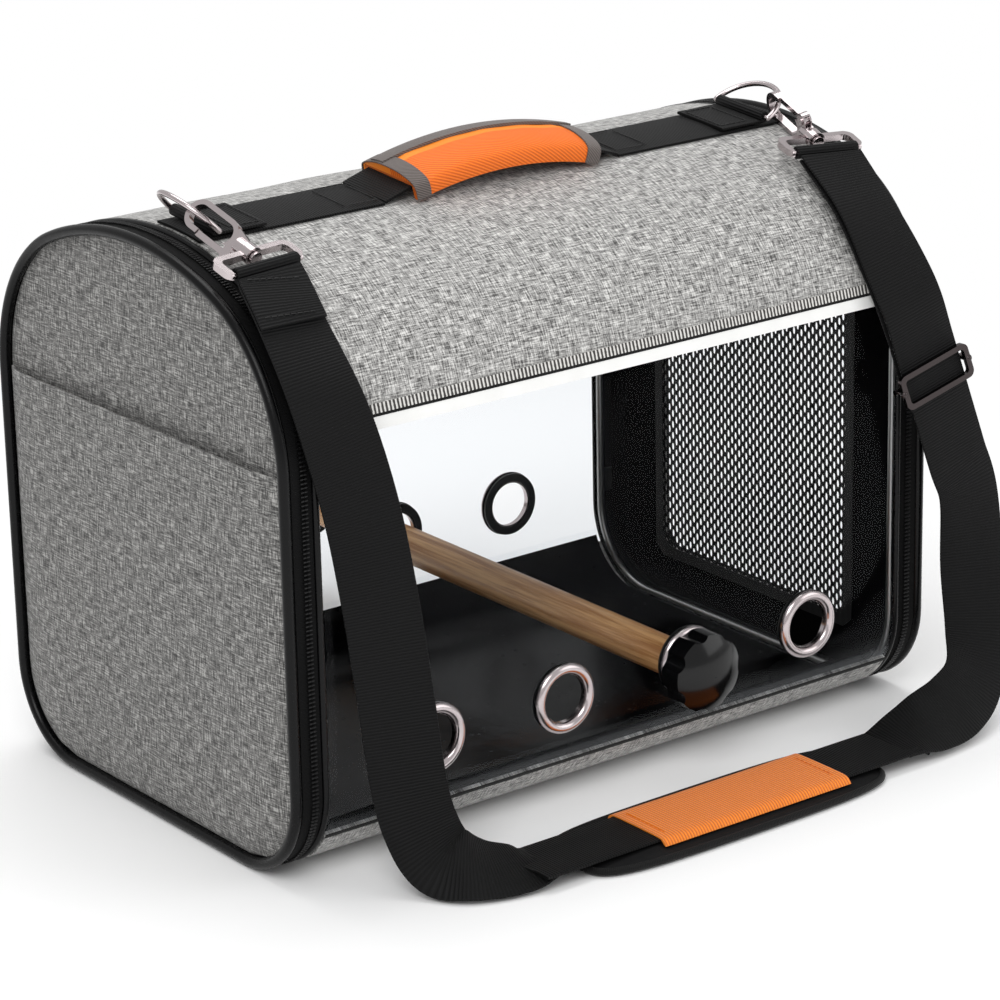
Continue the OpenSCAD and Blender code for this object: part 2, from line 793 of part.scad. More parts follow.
// The pad's section: a crowned top over the webbing, with a skirt down each side
module pad_section(grow) {
    low = webbing_t + seam - grow;
    high = webbing_t + seam + handle_pad_t;
    side = handle_pad_w / 2 + grow;
    inner = webbing_w / 2 + 0.4 - grow;
    intersection() {
        union() {
            translate([low, -side]) square([high + grow - low, 2 * side]);
            for (m = [0, 1]) mirror([0, m]) translate([webbing_t - skirt_h, inner])
                square([skirt_h + 1, side - inner]);
        }
        translate([high - crest_r, 0]) circle(r = crest_r + grow);
    }
}

// What lies under the handle pad's skirts
module roof_keepout() {
    end_view() translate([0, crown_z, 0]) cylinder(h = body_l, r = crown_r + 0.6, center = true);
}

module handle_pad() {
    color("#f5861c") difference() {
        along_arch(pad_a) pad_section(0);
        roof_keepout();
    }
}

// The twill binding round the pad's ends and along the foot of its skirts
module handle_binding() {
    end_a = binding_end / arch_r * 180 / PI;
    color("#5b5350") difference() {
        along_arch(pad_a) difference() {
            pad_section(binding_t + 0.05);
            pad_section(0.05);
            translate([webbing_t - skirt_h - 1, -webbing_w / 2 - 0.4]) square([skirt_h + 2, webbing_w + 0.8]);
        }
        along_arch(pad_a - end_a) translate([-2, -handle_pad_w]) square([30, 2 * handle_pad_w]);
        roof_keepout();
    }
}

// A D-ring whose bar lies at the origin across the ridge and whose bow leans
module d_ring(x, lean) {
    on_ridge() translate([x, 0, bar_z]) rotate([0, lean, 0]) {
        rod([0, -bow_r, 0], [0, bow_r, 0], ring_wire);
        for (s = [-1, 1]) translate([0, s * bow_r, 0]) sphere(d = ring_wire);
        rotate([0, -90, 0]) rotate([0, 0, -90]) rotate_extrude(angle = 180)
            translate([bow_r, 0]) circle(d = ring_wire);
    }
}

module near_ring() {
    color("#b9aeb2") d_ring(-ring_x, -near_lean);
}

module far_ring() {
    color("#b9aeb2") d_ring(ring_x, far_lean);
}

// The strap loop of a hook, with the boss that its pin turns in
module swivel_loop() {
    rod([0, -loop_w / 2, 0], [0, loop_w / 2, 0], loop_wire - 0.2);
    difference() {
        translate([loop_rise / 2, 0, -loop_wire / 2]) linear_extrude(loop_wire) difference() {
            round_rect(loop_rise + loop_wire, loop_w + loop_wire, 5);
            round_rect(loop_rise - loop_wire, loop_w - loop_wire, 3);
            translate([-loop_rise / 2, 0]) square([loop_rise, loop_w - loop_wire], center = true);
        }
        rotate([0, 90, 0]) cylinder(r = swivel_r + fit, h = 30);
    }
    translate([boss_u[0], 0, 0]) rotate([0, 90, 0]) rotate_extrude()
        translate([swivel_r + fit, 0]) square([boss_r - swivel_r - fit, boss_u[1] - boss_u[0]]);
}

// A snap hook with its swivel pin, its eye and the gap that the gate closes
module hook_body() {
    rim_r = eye_r + hook_rim;
    difference() {
        union() {
            translate([7.4, 0, 0]) rotate([0, 90, 0]) cylinder(h = 1.6, r = 3.4);
            translate([8, 0, 0]) rotate([0, 90, 0]) cylinder(h = 10, r = swivel_r);
            translate([boss_u[1] + 0.3, 0, 0]) rotate([0, 90, 0]) cylinder(h = 5, r = barrel_r);
            translate([0, 0, -hook_t / 2]) linear_extrude(hook_t) {
                polygon([[boss_u[1] + 0.3, -4.5], [boss_u[1] + 0.3, 4.5], [26, 6.8], [26, -6.8]]);
                translate([gate_u, -gate_v]) circle(r = 4.2);
                translate([eye_foot, 0]) circle(r = rim_r);
                translate([hook_l, 0]) circle(r = rim_r);
                translate([eye_foot, -rim_r]) square([hook_l - eye_foot, 2 * rim_r]);
            }
        }
        translate([0, 0, -hook_t]) linear_extrude(2 * hook_t) {
            translate([eye_foot, 0]) circle(r = eye_r);
            translate([hook_l, 0]) circle(r = eye_r);
            translate([eye_foot, -eye_r]) square([hook_l - eye_foot, 2 * eye_r]);
            translate([gate_u + 4, -rim_r - 2]) square([gate_l - 3.6, rim_r - eye_r + 2.1 + 1]);
            translate([gate_u, -gate_v]) circle(d = rivet_d + 0.04);
        }
        translate([gate_u - 4.5, -rim_r - 2, -gate_t / 2 - 0.1]) cube([13, rim_r - 1.6, gate_t + 0.2]);
    }
}

// The sprung gate, on its rivet and reaching to the hook's tip
module hook_gate() {
    difference() {
        translate([0, 0, -gate_t / 2]) linear_extrude(gate_t) {
            translate([gate_u, -gate_v]) circle(r = 2.6);
            translate([gate_u, -gate_v - gate_w / 2 - 0.6]) square([gate_l, gate_w]);
        }
        translate([gate_u, -gate_v, -hook_t]) cylinder(h = 2 * hook_t, d = rivet_d + 2 * fit);
    }
}

module gate_rivet() {
    translate([gate_u, -gate_v, 0]) {
        cylinder(h = hook_t + 1.4, d = rivet_d, center = true);
        for (s = [0, 1]) mirror([0, 0, s]) translate([0, 0, hook_t / 2 + 0.02]) cylinder(h = 0.8, r = 2.3);
    }
}

module near_swivel_loop() {
    color("#b9aeb2") multmatrix(near_frame) swivel_loop();
}

module near_hook() {
    color("#b9aeb2") multmatrix(near_frame) rotate([near_spin, 0, 0]) hook_body();
}

module near_gate() {
    color("#c4babd") multmatrix(near_frame) rotate([near_spin, 0, 0]) hook_gate();
}

module near_rivet() {
    color("#a89ea2") multmatrix(near_frame) rotate([near_spin, 0, 0]) gate_rivet();
}

module far_swivel_loop() {
    color("#b9aeb2") multmatrix(far_frame) swivel_loop();
}

module far_hook() {
    color("#b9aeb2") multmatrix(far_frame) rotate([far_spin, 0, 0]) hook_body();
}

module far_gate() {
    color("#c4babd") multmatrix(far_frame) rotate([far_spin, 0, 0]) hook_gate();
}

module far_rivet() {
    color("#a89ea2") multmatrix(far_frame) rotate([far_spin, 0, 0]) gate_rivet();
}

module strap_webbing() {
    color("#141414") band(smooth(places(strap_route), 3), smooth(widths(strap_route), 3));
}

// The ply that comes back from the far hook to the slider's middle bar, and its fold round the bar
module strap_return() {
    bar_at = slider_at - bar_lift * slide_out;
    route = concat(
        [[bar_at + (bar_wrap + 0.2) * slide_run, slide_across]], return_route,
        [[far_bar - ply_from * far_lie - 2 * ply_side * far_out, far_across]]);
    color("#141414") {
        band(smooth(places(route), 3), smooth(widths(route), 3));
        multmatrix(turned(bar_at, slide_run, slide_across)) webbing_fold(bar_wrap);
    }
}

// Webbing folded round a bar that lies along y
module webbing_fold(outer_r) {
    rotate([90, 0, 0]) difference() {
        cylinder(h = webbing_w, r = outer_r, center = true);
        cylinder(h = webbing_w + 2, r = outer_r - webbing_t, center = true);
    }
}

// The folds round the hooks' loops, and the near fold's sewn tail
module strap_end_loops() {
    color("#141414") {
        multmatrix(near_frame) webbing_fold(wrap_r);
        multmatrix(far_frame) webbing_fold(wrap_r);
        band([for (i = [0 : tail_rings]) smooth(places(strap_route), 3)[i]],
            [for (i = [0 : tail_rings]) smooth(widths(strap_route), 3)[i]], webbing_t + tail_gap);
    }
}

// The slider: a round-cornered wire frame in front of the strap and a middle bar behind it
module strap_slider() {
    high = slider_h / 2 + slider_wire / 2;
    color("#2a2626") multmatrix(turned(slider_at, slide_run, slide_across)) {
        translate([0, 0, frame_lift - slider_wire / 2]) linear_extrude(slider_wire) difference() {
            round_rect(2 * high + slider_wire, 2 * slider_half + slider_wire, 4);
            round_rect(2 * high - slider_wire, 2 * slider_half - slider_wire, 2);
        }
        for (s = [-1, 1]) rod([0, s * slider_half, frame_lift], [0, s * slider_half, -bar_lift], slider_wire - 0.2);
        rod([0, -slider_half - 2, -bar_lift], [0, slider_half + 2, -bar_lift], slider_wire);
        for (s = [-1, 1]) translate([0, s * (slider_half + 0.6), frame_lift]) sphere(d = slider_wire + 1.4);
    }
}

// A rounded rectangle about the origin
module round_rect(l, w, r) {
    square([l - 2 * r, w], center = true);
    square([l, w - 2 * r], center = true);
    for (x = [-1, 1], y = [-1, 1]) translate([x * (l / 2 - r), y * (w / 2 - r)]) circle(r = r);
}

module shoulder_pad() {
    color("#4a4a48") translate([pad_x, pad_y, pad_z]) intersection() {
        linear_extrude(pad_t) round_rect(pad_l, pad_w, pad_round);
        translate([0, 0, pad_t - 0.3 - pad_crest_r]) rotate([0, 90, 0])
            cylinder(h = pad_l + 2, r = pad_crest_r, center = true);
    }
}

// The sleeve sewn on the pad, with the strap running through it
module pad_sleeve() {
    color("#f5861c") translate([sleeve_x, pad_y, sleeve_low]) difference() {
        linear_extrude(strap_flat_z + webbing_t / 2 + gap + sleeve_t - sleeve_low)
            round_rect(sleeve_l, sleeve_w, 4);
        translate([-sleeve_l, -webbing_w / 2 - gap, -1])
            cube([2 * sleeve_l, webbing_w + 2 * gap, strap_flat_z + webbing_t / 2 + gap - sleeve_low + 1]);
    }
}

roof_panel();
roof_lining();
front_window();
back_window();
window_bindings();
floor_panel();
base_board();
floor_mat();
front_eyelets();
back_eyelets();
eyelet_washers();
end_hoops();
edge_pipings();
frame_zip_tapes();
frame_zip_coils();
near_door_panel();
near_door_board();
near_pocket();
near_piping();
near_door_tape();
near_door_coil();
far_door_panel();
far_door_lining();
far_mesh();
far_piping();
far_door_tape();
far_door_coil();
near_zip_slider();
near_zip_pull();
far_zip_slider();
far_zip_pull();
perch();
perch_studs();
front_knob();
back_knob();
ridge_webbing();
ring_tabs();
handle_webbing();
handle_pad();
handle_binding();
near_ring();
far_ring();
near_swivel_loop();
near_hook();
near_gate();
near_rivet();
far_swivel_loop();
far_hook();
far_gate();
far_rivet();
strap_webbing();
strap_return();
strap_end_loops();
strap_slider();
shoulder_pad();
pad_sleeve();
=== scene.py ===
"""Looks for a soft-sided bird travel carrier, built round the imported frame: cloth, clear sheets, net,
zips, padded handle, webbing strap and finishes. Shapes are worked out in millimetres and stored in metres."""

import math

import bpy
import numpy as np
from mathutils import Matrix


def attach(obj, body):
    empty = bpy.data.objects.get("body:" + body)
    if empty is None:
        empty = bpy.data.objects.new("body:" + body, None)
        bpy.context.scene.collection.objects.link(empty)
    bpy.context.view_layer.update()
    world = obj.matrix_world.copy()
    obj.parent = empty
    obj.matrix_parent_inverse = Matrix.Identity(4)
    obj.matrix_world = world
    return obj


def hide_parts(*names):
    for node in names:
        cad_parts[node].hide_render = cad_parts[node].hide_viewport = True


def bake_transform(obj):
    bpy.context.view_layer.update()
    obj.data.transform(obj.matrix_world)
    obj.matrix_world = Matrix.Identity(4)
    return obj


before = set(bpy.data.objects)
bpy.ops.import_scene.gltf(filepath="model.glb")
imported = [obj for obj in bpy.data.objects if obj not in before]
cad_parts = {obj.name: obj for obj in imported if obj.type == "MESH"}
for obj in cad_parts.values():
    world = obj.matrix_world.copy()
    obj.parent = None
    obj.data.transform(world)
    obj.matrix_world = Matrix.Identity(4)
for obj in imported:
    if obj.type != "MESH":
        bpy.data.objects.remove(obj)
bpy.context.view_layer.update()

# Sizes in mm, in the frame's own axes: X along the body, -Y to the front window, Z up
HALF_D, BODY_H = 132.0, 312.0
CROWN_R, SHOULDER_R, FOOT_R = 200.0, 90.0, 50.0
CROWN_Z, SHOULDER_Y = BODY_H - CROWN_R, HALF_D - SHOULDER_R
SHOULDER_Z = CROWN_Z + math.sqrt((CROWN_R - SHOULDER_R) ** 2 - SHOULDER_Y ** 2)
CROWN_A = math.asin(SHOULDER_Y / (CROWN_R - SHOULDER_R))
# Half lengths: of the cloth between the end rims, of the trims sewn on it, and of the inner pipings' places
CLOTH_X, TRIM_X, EDGE_X = 187.9, 187.8, 190.0
WINDOW_LOW, WINDOW_HIGH = 26.0, 239.0
# Middles of the eyelets as X and Z, and the radius of the holes that the windows have for them
EYELETS, EYELET_HOLE = [(-124.5, 62.0), (-41.5, 62.0), (41.5, 62.0), (124.5, 62.0)], 16.2
# X of the doors' outer faces, and the doors' cloth with its stiffener
DOOR_FACE, CLOTH_T = 203.6, 1.9
WEB_W, WEB_T = 38.0, 1.6
# The ridge lies 16 mm to the front of the crown's middle; the handle arches RISE mm over twice HANDLE_X
RIDGE_A = math.asin(16.0 / CROWN_R)
HANDLE_X, RISE = 75.0, 13.0
ARCH_R = (HANDLE_X ** 2 + RISE ** 2) / (2 * RISE)
HINGE_HALF = HALF_D - FOOT_R - 2
# Pitch of the zips' teeth, and the step of bars carried round the outline
TOOTH_PITCH, BAR_STEP = 2.2, 4.0
SHARP_ANGLE = math.radians(42)


# Shapes


def smooth(points, steps):
    """A curve through the points: cubic pieces, their slope at each point half the step between its neighbours."""
    p = np.asarray(points, float)
    q = np.vstack([p[:1], p, p[-1:]])
    s = (np.arange(steps) / steps)[:, None]
    out = []
    for a, b, c, d in zip(q[:-3], q[1:-2], q[2:-1], q[3:]):
        square, cube = 2 * a - 5 * b + 4 * c - d, 3 * b - a - 3 * c + d
        out.append((2 * b + (c - a) * s + square * s ** 2 + cube * s ** 3) / 2)
    return np.vstack(out + [p[-1:]])


def unit(v):
    """Each vector at length 1."""
    v = np.asarray(v, float)
    return v / np.linalg.norm(v, axis=-1, keepdims=True)


def arc(cy, cz, r, a0, a1):
    """Points and normals on a circle, every 1.5 degrees."""
    a = np.radians(np.linspace(a0, a1, int(abs(a1 - a0) / 1.5) + 2))
    n = np.stack([np.cos(a), np.sin(a)], 1)
    return np.array([cy, cz]) + r * n, n


def outline_table():
    """The end outline from the middle of the bottom up the back and over: flats and arcs that meet smoothly."""
    side, ca = HALF_D - FOOT_R, math.degrees(CROWN_A)
    foot, shoulder = arc(side, FOOT_R, FOOT_R, -90, 0), arc(SHOULDER_Y, SHOULDER_Z, SHOULDER_R, 0, 90 - ca)
    crown = arc(0, CROWN_Z, CROWN_R, 90 - ca, 90)
    p = np.vstack([[[0, 0]], foot[0], shoulder[0], crown[0]])
    n = np.vstack([[[0, -1]], foot[1], shoulder[1], crown[1]])
    p, n = np.vstack([p, p[-2::-1] * [-1, 1]]), np.vstack([n, n[-2::-1] * [-1, 1]])
    s = np.concatenate([[0], np.cumsum(np.linalg.norm(np.diff(p, axis=0), axis=1))])
    keep = np.concatenate([[True], np.diff(s) > 1e-6])
    return s[keep], p[keep], n[keep]


OUT_S, OUT_P, OUT_N = outline_table()
ROUND = OUT_S[-1]


def outline_at(s):
    """Place and outward normal on the outline at distance s round it."""
    s = np.mod(np.asarray(s, float), ROUND + 1e-9)
    p = np.stack([np.interp(s, OUT_S, OUT_P[:, k]) for k in (0, 1)], -1)
    return p, unit(np.stack([np.interp(s, OUT_S, OUT_N[:, k]) for k in (0, 1)], -1))


def s_at_height(z):
    """Distance round the outline to height z on the back wall."""
    half = len(OUT_S) // 2 + 1
    return float(np.interp(z, OUT_P[1:half, 1], OUT_S[1:half]))


def waves(u, v, size, seed):
    """A gentle, uneven surface: the sum of seven sine waves in random directions, about size mm long, over the root
    of twice their number, which keeps its height near 1."""
    r, count = np.random.default_rng(seed), 7
    out = 0.0
    for _ in range(count):
        a, k, ph = r.uniform(0, math.pi), 2 * math.pi / (size * r.uniform(0.6, 1.8)), r.uniform(0, 6.3)
        out = out + np.sin(k * (u * math.cos(a) + v * math.sin(a)) + ph)
    return out / math.sqrt(count * 2)


def solid(front, back, uv, wrap=False, keep=None):
    """Closed sheet between two grids of points: both faces, and a rim along every open edge."""
    n, m = front.shape[:2]
    idx = np.arange(n * m).reshape(n, m)
    nxt = np.roll(idx, -1, 0) if wrap else idx[1:]
    cur = idx if wrap else idx[:-1]
    f = np.stack([cur[:, :-1], nxt[:, :-1], nxt[:, 1:], cur[:, 1:]], -1).reshape(-1, 4)
    if keep is not None:
        f = f[keep.ravel()]
    e = np.concatenate([np.stack([f[:, k], f[:, (k + 1) % 4]], 1) for k in range(4)])
    code, rev = e[:, 0] * (n * m) + e[:, 1], e[:, 1] * (n * m) + e[:, 0]
    rim = e[~np.isin(code, rev)]
    wall = np.stack([rim[:, 1], rim[:, 0], rim[:, 0] + n * m, rim[:, 1] + n * m], 1)
    faces = np.vstack([f, f[:, ::-1] + n * m, wall])
    v = np.vstack([front.reshape(-1, 3), back.reshape(-1, 3)])
    t = np.vstack([uv.reshape(-1, 2)] * 2)
    return used(v, faces, t)


def used(v, faces, t):
    """The same faces with only the points that they use."""
    keep, inv = np.unique(faces, return_inverse=True)
    return v[keep], inv.reshape(faces.shape), t[keep]


def swept(rings, closed=False, uv=None):
    """A bar whose cross-sections are the rings (n, k, 3), with flat ends unless it closes on itself."""
    rings = np.asarray(rings, float)
    n, k = rings.shape[:2]
    idx = np.arange(n * k).reshape(n, k)
    nxt, cur = (np.roll(idx, -1, 0), idx) if closed else (idx[1:], idx[:-1])
    f = np.stack([cur, nxt, np.roll(nxt, -1, 1), np.roll(cur, -1, 1)], -1).reshape(-1, 4).tolist()
    if not closed:
        f += [idx[0].tolist(), idx[-1][::-1].tolist()]
    if uv is None:
        mid = rings.mean(1)
        run = np.concatenate([[0], np.cumsum(np.linalg.norm(np.diff(mid, axis=0), axis=1))])
        across = np.concatenate([[0], np.cumsum(np.linalg.norm(np.diff(rings[n // 2], axis=0), axis=1))])
        uv = np.stack(np.broadcast_arrays(run[:, None], across[None, :]), -1)
    return rings.reshape(-1, 3), f, np.asarray(uv).reshape(-1, 2)


def joined(*parts):
    """Several meshes as one."""
    v, f, t, n = [], [], [], 0
    for p in parts:
        v.append(p[0])
        t.append(p[2])
        f += [[i + n for i in q] for q in (p[1].tolist() if isinstance(p[1], np.ndarray) else p[1])]
        n += len(p[0])
    return np.vstack(v), f, np.vstack(t)


def piece(name, mesh, material, body, replaces=()):
    """Makes the object, turns its faces outward where its signed volume is below zero, and ties it to its body."""
    v, f, t = mesh
    f = f.tolist() if isinstance(f, np.ndarray) else f
    me = bpy.data.meshes.new(name)
    me.from_pydata((np.asarray(v) / 1000).tolist(), [], f)
    me.validate(clean_customdata=False)
    me.calc_loop_triangles()
    co, tri = np.empty(len(me.vertices) * 3), np.empty(len(me.loop_triangles) * 3, int)
    me.vertices.foreach_get("co", co)
    me.loop_triangles.foreach_get("vertices", tri)
    a, b, c = (co.reshape(-1, 3)[tri.reshape(-1, 3)[:, k]] for k in range(3))
    if np.einsum("ij,ij->i", a, np.cross(b, c)).sum() < 0:
        me.flip_normals()
    layer = me.uv_layers.new(name="UVMap")
    loop = np.empty(len(me.loops), int)
    me.loops.foreach_get("vertex_index", loop)
    layer.data.foreach_set("uv", (np.asarray(t, float) / 1000)[loop].ravel())
    me.polygons.foreach_set("use_smooth", [True] * len(me.polygons))
    me.set_sharp_from_angle(angle=SHARP_ANGLE)
    me.materials.append(material)
    ob = bpy.data.objects.new(name, me)
    bpy.context.scene.collection.objects.link(ob)
    if body:
        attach(ob, body)
    if replaces:
        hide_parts(*replaces)
    return ob


def skin(s0, s1, half_x, outer, inner, ns, nx, ripple=None, keep=None):
    """A sheet that follows the outline between two distances round it, half_x long each way: the outline moved along
    its normal, inward to the depths outer and inner, plus the ripple."""
    s, x = np.linspace(s0, s1, ns), np.linspace(-half_x, half_x, nx)
    p, n = outline_at(s)
    out = np.broadcast_to(-outer, (ns, nx)).astype(float)
    if ripple is not None:
        out = out + ripple(s[:, None], x[None, :])
    def at(lift):
        yz = p[:, None, :] + n[:, None, :] * lift[..., None]
        return np.concatenate([np.broadcast_to(x[None, :, None], (ns, nx, 1)), yz], -1)
    uv = np.stack(np.broadcast_arrays(x[None, :], s[:, None]), -1)
    return solid(at(out), at(out - (inner - outer)), uv, keep=keep)


def round_bar(section, open_foot=False):
    """A section carried round the outline: its first number is the distance outward, its second the place along X."""
    if open_foot:
        s = np.linspace(HINGE_HALF, ROUND - HINGE_HALF, int(ROUND / BAR_STEP))
    else:
        s = np.linspace(0, ROUND, int(ROUND / BAR_STEP), endpoint=False)
    p, n = outline_at(s)
    sec = np.asarray(section, float)
    yz = p[:, None, :] + n[:, None, :] * sec[None, :, :1]
    rings = np.concatenate([np.broadcast_to(sec[None, :, 1:], (len(s), len(sec), 1)), yz], -1)
    return swept(rings, closed=not open_foot)


def circle_section(out, x, r, n):
    """A round section for a bar, at a distance outward and a place along X."""
    a = np.linspace(0, 2 * math.pi, n, endpoint=False)
    return np.stack([out + r * np.cos(a), x + r * np.sin(a)], 1)


def box_section(o0, o1, x0, x1, nx):
    """An oblong section for a bar, between two distances outward and two places along X."""
    x = np.linspace(x0, x1, nx)
    return np.vstack([np.stack([np.full(nx, o1), x], 1), np.stack([np.full(nx, o0), x[::-1]], 1)])


def teeth(x0, x1, open_from=None):
    """A row of zip coil: every 2.2 mm a short six-sided bar from x0 to x1, thickest in its middle. The real pitch of
    about 1.3 mm is too fine to show."""
    s = np.arange(HINGE_HALF + 3, ROUND - HINGE_HALF - 3, TOOTH_PITCH)
    if open_from is not None:
        s = s[(s < s_at_height(0.5)) | (s > open_from)]
    p, n = outline_at(s)
    tangent = np.stack([-n[:, 1], n[:, 0]], 1)
    a = np.linspace(0, 2 * math.pi, 6, endpoint=False)
    rows = []
    for x, grow in ((x0, 0.75), ((x0 + x1) / 2, 0.85), (x1, 0.7)):
        rise, wide = (-0.7 + 0.7 * grow * np.sin(a))[None, :, None], (0.75 * grow * np.cos(a))[None, :, None]
        yz = p[:, None] + n[:, None] * rise + tangent[:, None] * wide
        rows.append(np.concatenate([np.full((len(s), 6, 1), x), yz], -1))
    v = np.stack(rows, 1).reshape(-1, 3)
    tooth = [[r + k, r + (k + 1) % 6, r + 6 + (k + 1) % 6, r + 6 + k] for r in (0, 6) for k in range(6)]
    tooth += [[5, 4, 3, 2, 1, 0], [12, 13, 14, 15, 16, 17]]
    return v, [[i + b for i in q] for b in range(0, len(v), 18) for q in tooth], np.zeros((len(v), 2))


def half_width(z, inset):
    """Half the width, at height z, of the outline moved inward along its normals."""
    half = len(OUT_S) // 2 + 1
    q = OUT_P[1:half] - inset * OUT_N[1:half]
    return np.interp(z, q[:, 1], q[:, 0])


def end_plate(inset, z1, nz, ny, face):
    """A plate across the end: rows by height, closer together near the top by a sine, and columns by share of the
    half width. face(y, z, share) gives the X of its two sides."""
    top = BODY_H - inset if z1 is None else z1
    t = np.linspace(0, 1, nz)
    z = inset + (top - inset) * (t if z1 is not None else np.sin(t * math.pi / 2))
    share = np.linspace(-1, 1, ny)
    w = np.maximum(half_width(z, inset), 0.02)
    y = w[:, None] * share[None, :]
    zz = np.broadcast_to(z[:, None], y.shape)
    x_out, x_in = face(y, zz, np.broadcast_to(share[None, :], y.shape))
    uv = np.stack([y, zz], -1)
    return solid(np.stack([x_out, y, zz], -1), np.stack([x_in, y, zz], -1), uv)


def mesh_curve(grow, n):
    """The arched opening as n points by angle round its middle, grown by some mm."""
    side, low, az, r = 80.0 + grow, 32.0 - grow, 179.0, 95.0 + grow
    top = az + math.sqrt(r * r - side * side)
    a = np.linspace(math.asin((top - az) / r), math.pi - math.asin((top - az) / r), 60)
    arch = np.stack([r * np.cos(a), az + r * np.sin(a)], 1)
    first, last = [[0, low], [side - 6, low], [side, low + 6]], [[-side, low + 6], [-side + 6, low], [0, low]]
    return by_angle(np.vstack([first, arch, last]), n)


def by_angle(pts, n):
    """A closed curve again as n points, by angle round the middle of the door."""
    mid = np.array([0.0, 150.0])
    d = pts - mid
    fine = np.vstack([np.linspace(d[i], d[i + 1], 12, endpoint=False) for i in range(len(d) - 1)])
    ang = np.unwrap(np.arctan2(fine[:, 1], fine[:, 0]))
    rad = np.hypot(fine[:, 0], fine[:, 1])
    th = np.linspace(-math.pi / 2, 1.5 * math.pi, n, endpoint=False)
    base = np.mod(ang + math.pi / 2, 2 * math.pi) - math.pi / 2
    order = np.argsort(base)
    r = np.interp(th, base[order], rad[order], period=2 * math.pi)
    return mid + r[:, None] * np.stack([np.cos(th), np.sin(th)], 1)


def ring_plate(inner, outer, x_out, x_in, steps=10):
    """A flat plate between two closed curves: even mixes of the two, at two places along X."""
    t = np.linspace(0, 1, steps)[None, :, None]
    yz = inner[:, None] * (1 - t) + outer[:, None] * t
    def at(x):
        return np.concatenate([np.full(yz.shape[:2] + (1,), x), yz], -1)
    return solid(at(x_out), at(x_in), yz, wrap=True)


def band(points, widths, lift=0.0, steps=8):
    """Flat webbing along a path: an oblong section with rounded edges, square to the path and turned so that its wide
    side is nearest the given directions. The last three rings at each end turn fully to them, step by step."""
    p, wd = smooth(points, steps), smooth(widths, steps)
    run = unit(np.gradient(p, axis=0))
    n = unit(np.cross(run, wd))
    a = np.cross(n, run)
    near_end = np.clip(1 - np.minimum(np.arange(len(p)), np.arange(len(p))[::-1]) / 3, 0, 1)[:, None]
    a = unit((1 - near_end) * a + near_end * unit(wd))
    h, e = WEB_W / 2, WEB_T / 2
    half = [(-h + e * 0.3, e * 0.8), (-h + e, e), (-h / 2, e), (0, e), (h / 2, e), (h - e, e),
            (h - e * 0.3, e * 0.8), (h, 0.3 * e)]
    sec = np.array(half + [(-x, -y) for x, y in half])
    rings = p[:, None] + a[:, None] * sec[None, :, :1] + n[:, None] * (sec[None, :, 1:] + lift)
    dist = np.concatenate([[0], np.cumsum(np.linalg.norm(np.diff(p, axis=0), axis=1))])
    uv = np.stack(np.broadcast_arrays(dist[:, None], sec[None, :, 0]), -1)
    return swept(rings, uv=uv), p + lift * n


def fold(origin, rows, outer_r):
    """Webbing folded right round a bar: a closed band of radius outer_r about the second row of the frame."""
    a = np.linspace(0, 2 * math.pi, 28, endpoint=False)
    ring = np.stack([np.cos(a), np.zeros_like(a), np.sin(a)], 1)
    h, t = WEB_W / 2, WEB_T
    sec = [(outer_r, -h + 0.4), (outer_r, h - 0.4), (outer_r - 0.3, h), (outer_r - t + 0.3, h),
           (outer_r - t, h - 0.4), (outer_r - t, -h + 0.4), (outer_r - t + 0.3, -h), (outer_r - 0.3, -h)]
    rings = np.array([[r * d + [0, y, 0] for r, y in sec] for d in ring])
    m = np.array(rows)
    rings = rings @ m + np.array(origin)
    uv = np.stack(np.broadcast_arrays((a * outer_r)[:, None], np.array([y for _, y in sec])[None, :]), -1)
    return swept(rings, closed=True, uv=uv)


def turned(along, across):
    """Rows of a frame: along, across, and up from both."""
    a = unit(along)
    c = unit(np.cross(a, across))
    return np.array([a, np.cross(c, a), c])


def ridge(x, y, z):
    """A place in the ridge's frame, which leans with the crown, in the body's own: y and the crown's radius plus z,
    turned by RIDGE_A about the crown's middle."""
    x, y, z = np.broadcast_arrays(np.asarray(x, float), np.asarray(y, float), np.asarray(z, float))
    c, s = math.cos(RIDGE_A), math.sin(RIDGE_A)
    return np.stack([x, y * c - (CROWN_R + z) * s, CROWN_Z + y * s + (CROWN_R + z) * c], -1)


def arched(phi, across, height):
    """A place on the handle, from its angle along the arch, its place across and its height over the underside."""
    return ridge((ARCH_R + height) * np.sin(phi), across, RISE - ARCH_R + (ARCH_R + height) * np.cos(phi))


def off_roof(p):
    """Moves what would sink into the roof out to its surface: at least 0.7 mm more than the crown's radius."""
    d = p[..., 1:] - [0, CROWN_Z]
    r = np.linalg.norm(d, axis=-1, keepdims=True)
    q = p.copy()
    q[..., 1:] = [0, CROWN_Z] + d * np.maximum(1, (CROWN_R + 0.7) / r)
    return q


def tube(path, r, n=12, closed=False, squash=1.0, up=(0, 0, 1)):
    """A round bar along a path: circles square to it, pressed flat or tall by squash."""
    p = np.asarray(path, float)
    run = unit(np.roll(p, -1, 0) - np.roll(p, 1, 0)) if closed else unit(np.gradient(p, axis=0))
    side = unit(np.cross(run, np.broadcast_to(up, run.shape)))
    top = np.cross(side, run)
    a = np.linspace(0, 2 * math.pi, n, endpoint=False)
    wide, tall = r * np.cos(a)[None, :, None], r * squash * np.sin(a)[None, :, None]
    return swept(p[:, None] + wide * side[:, None] + tall * top[:, None], closed=closed)


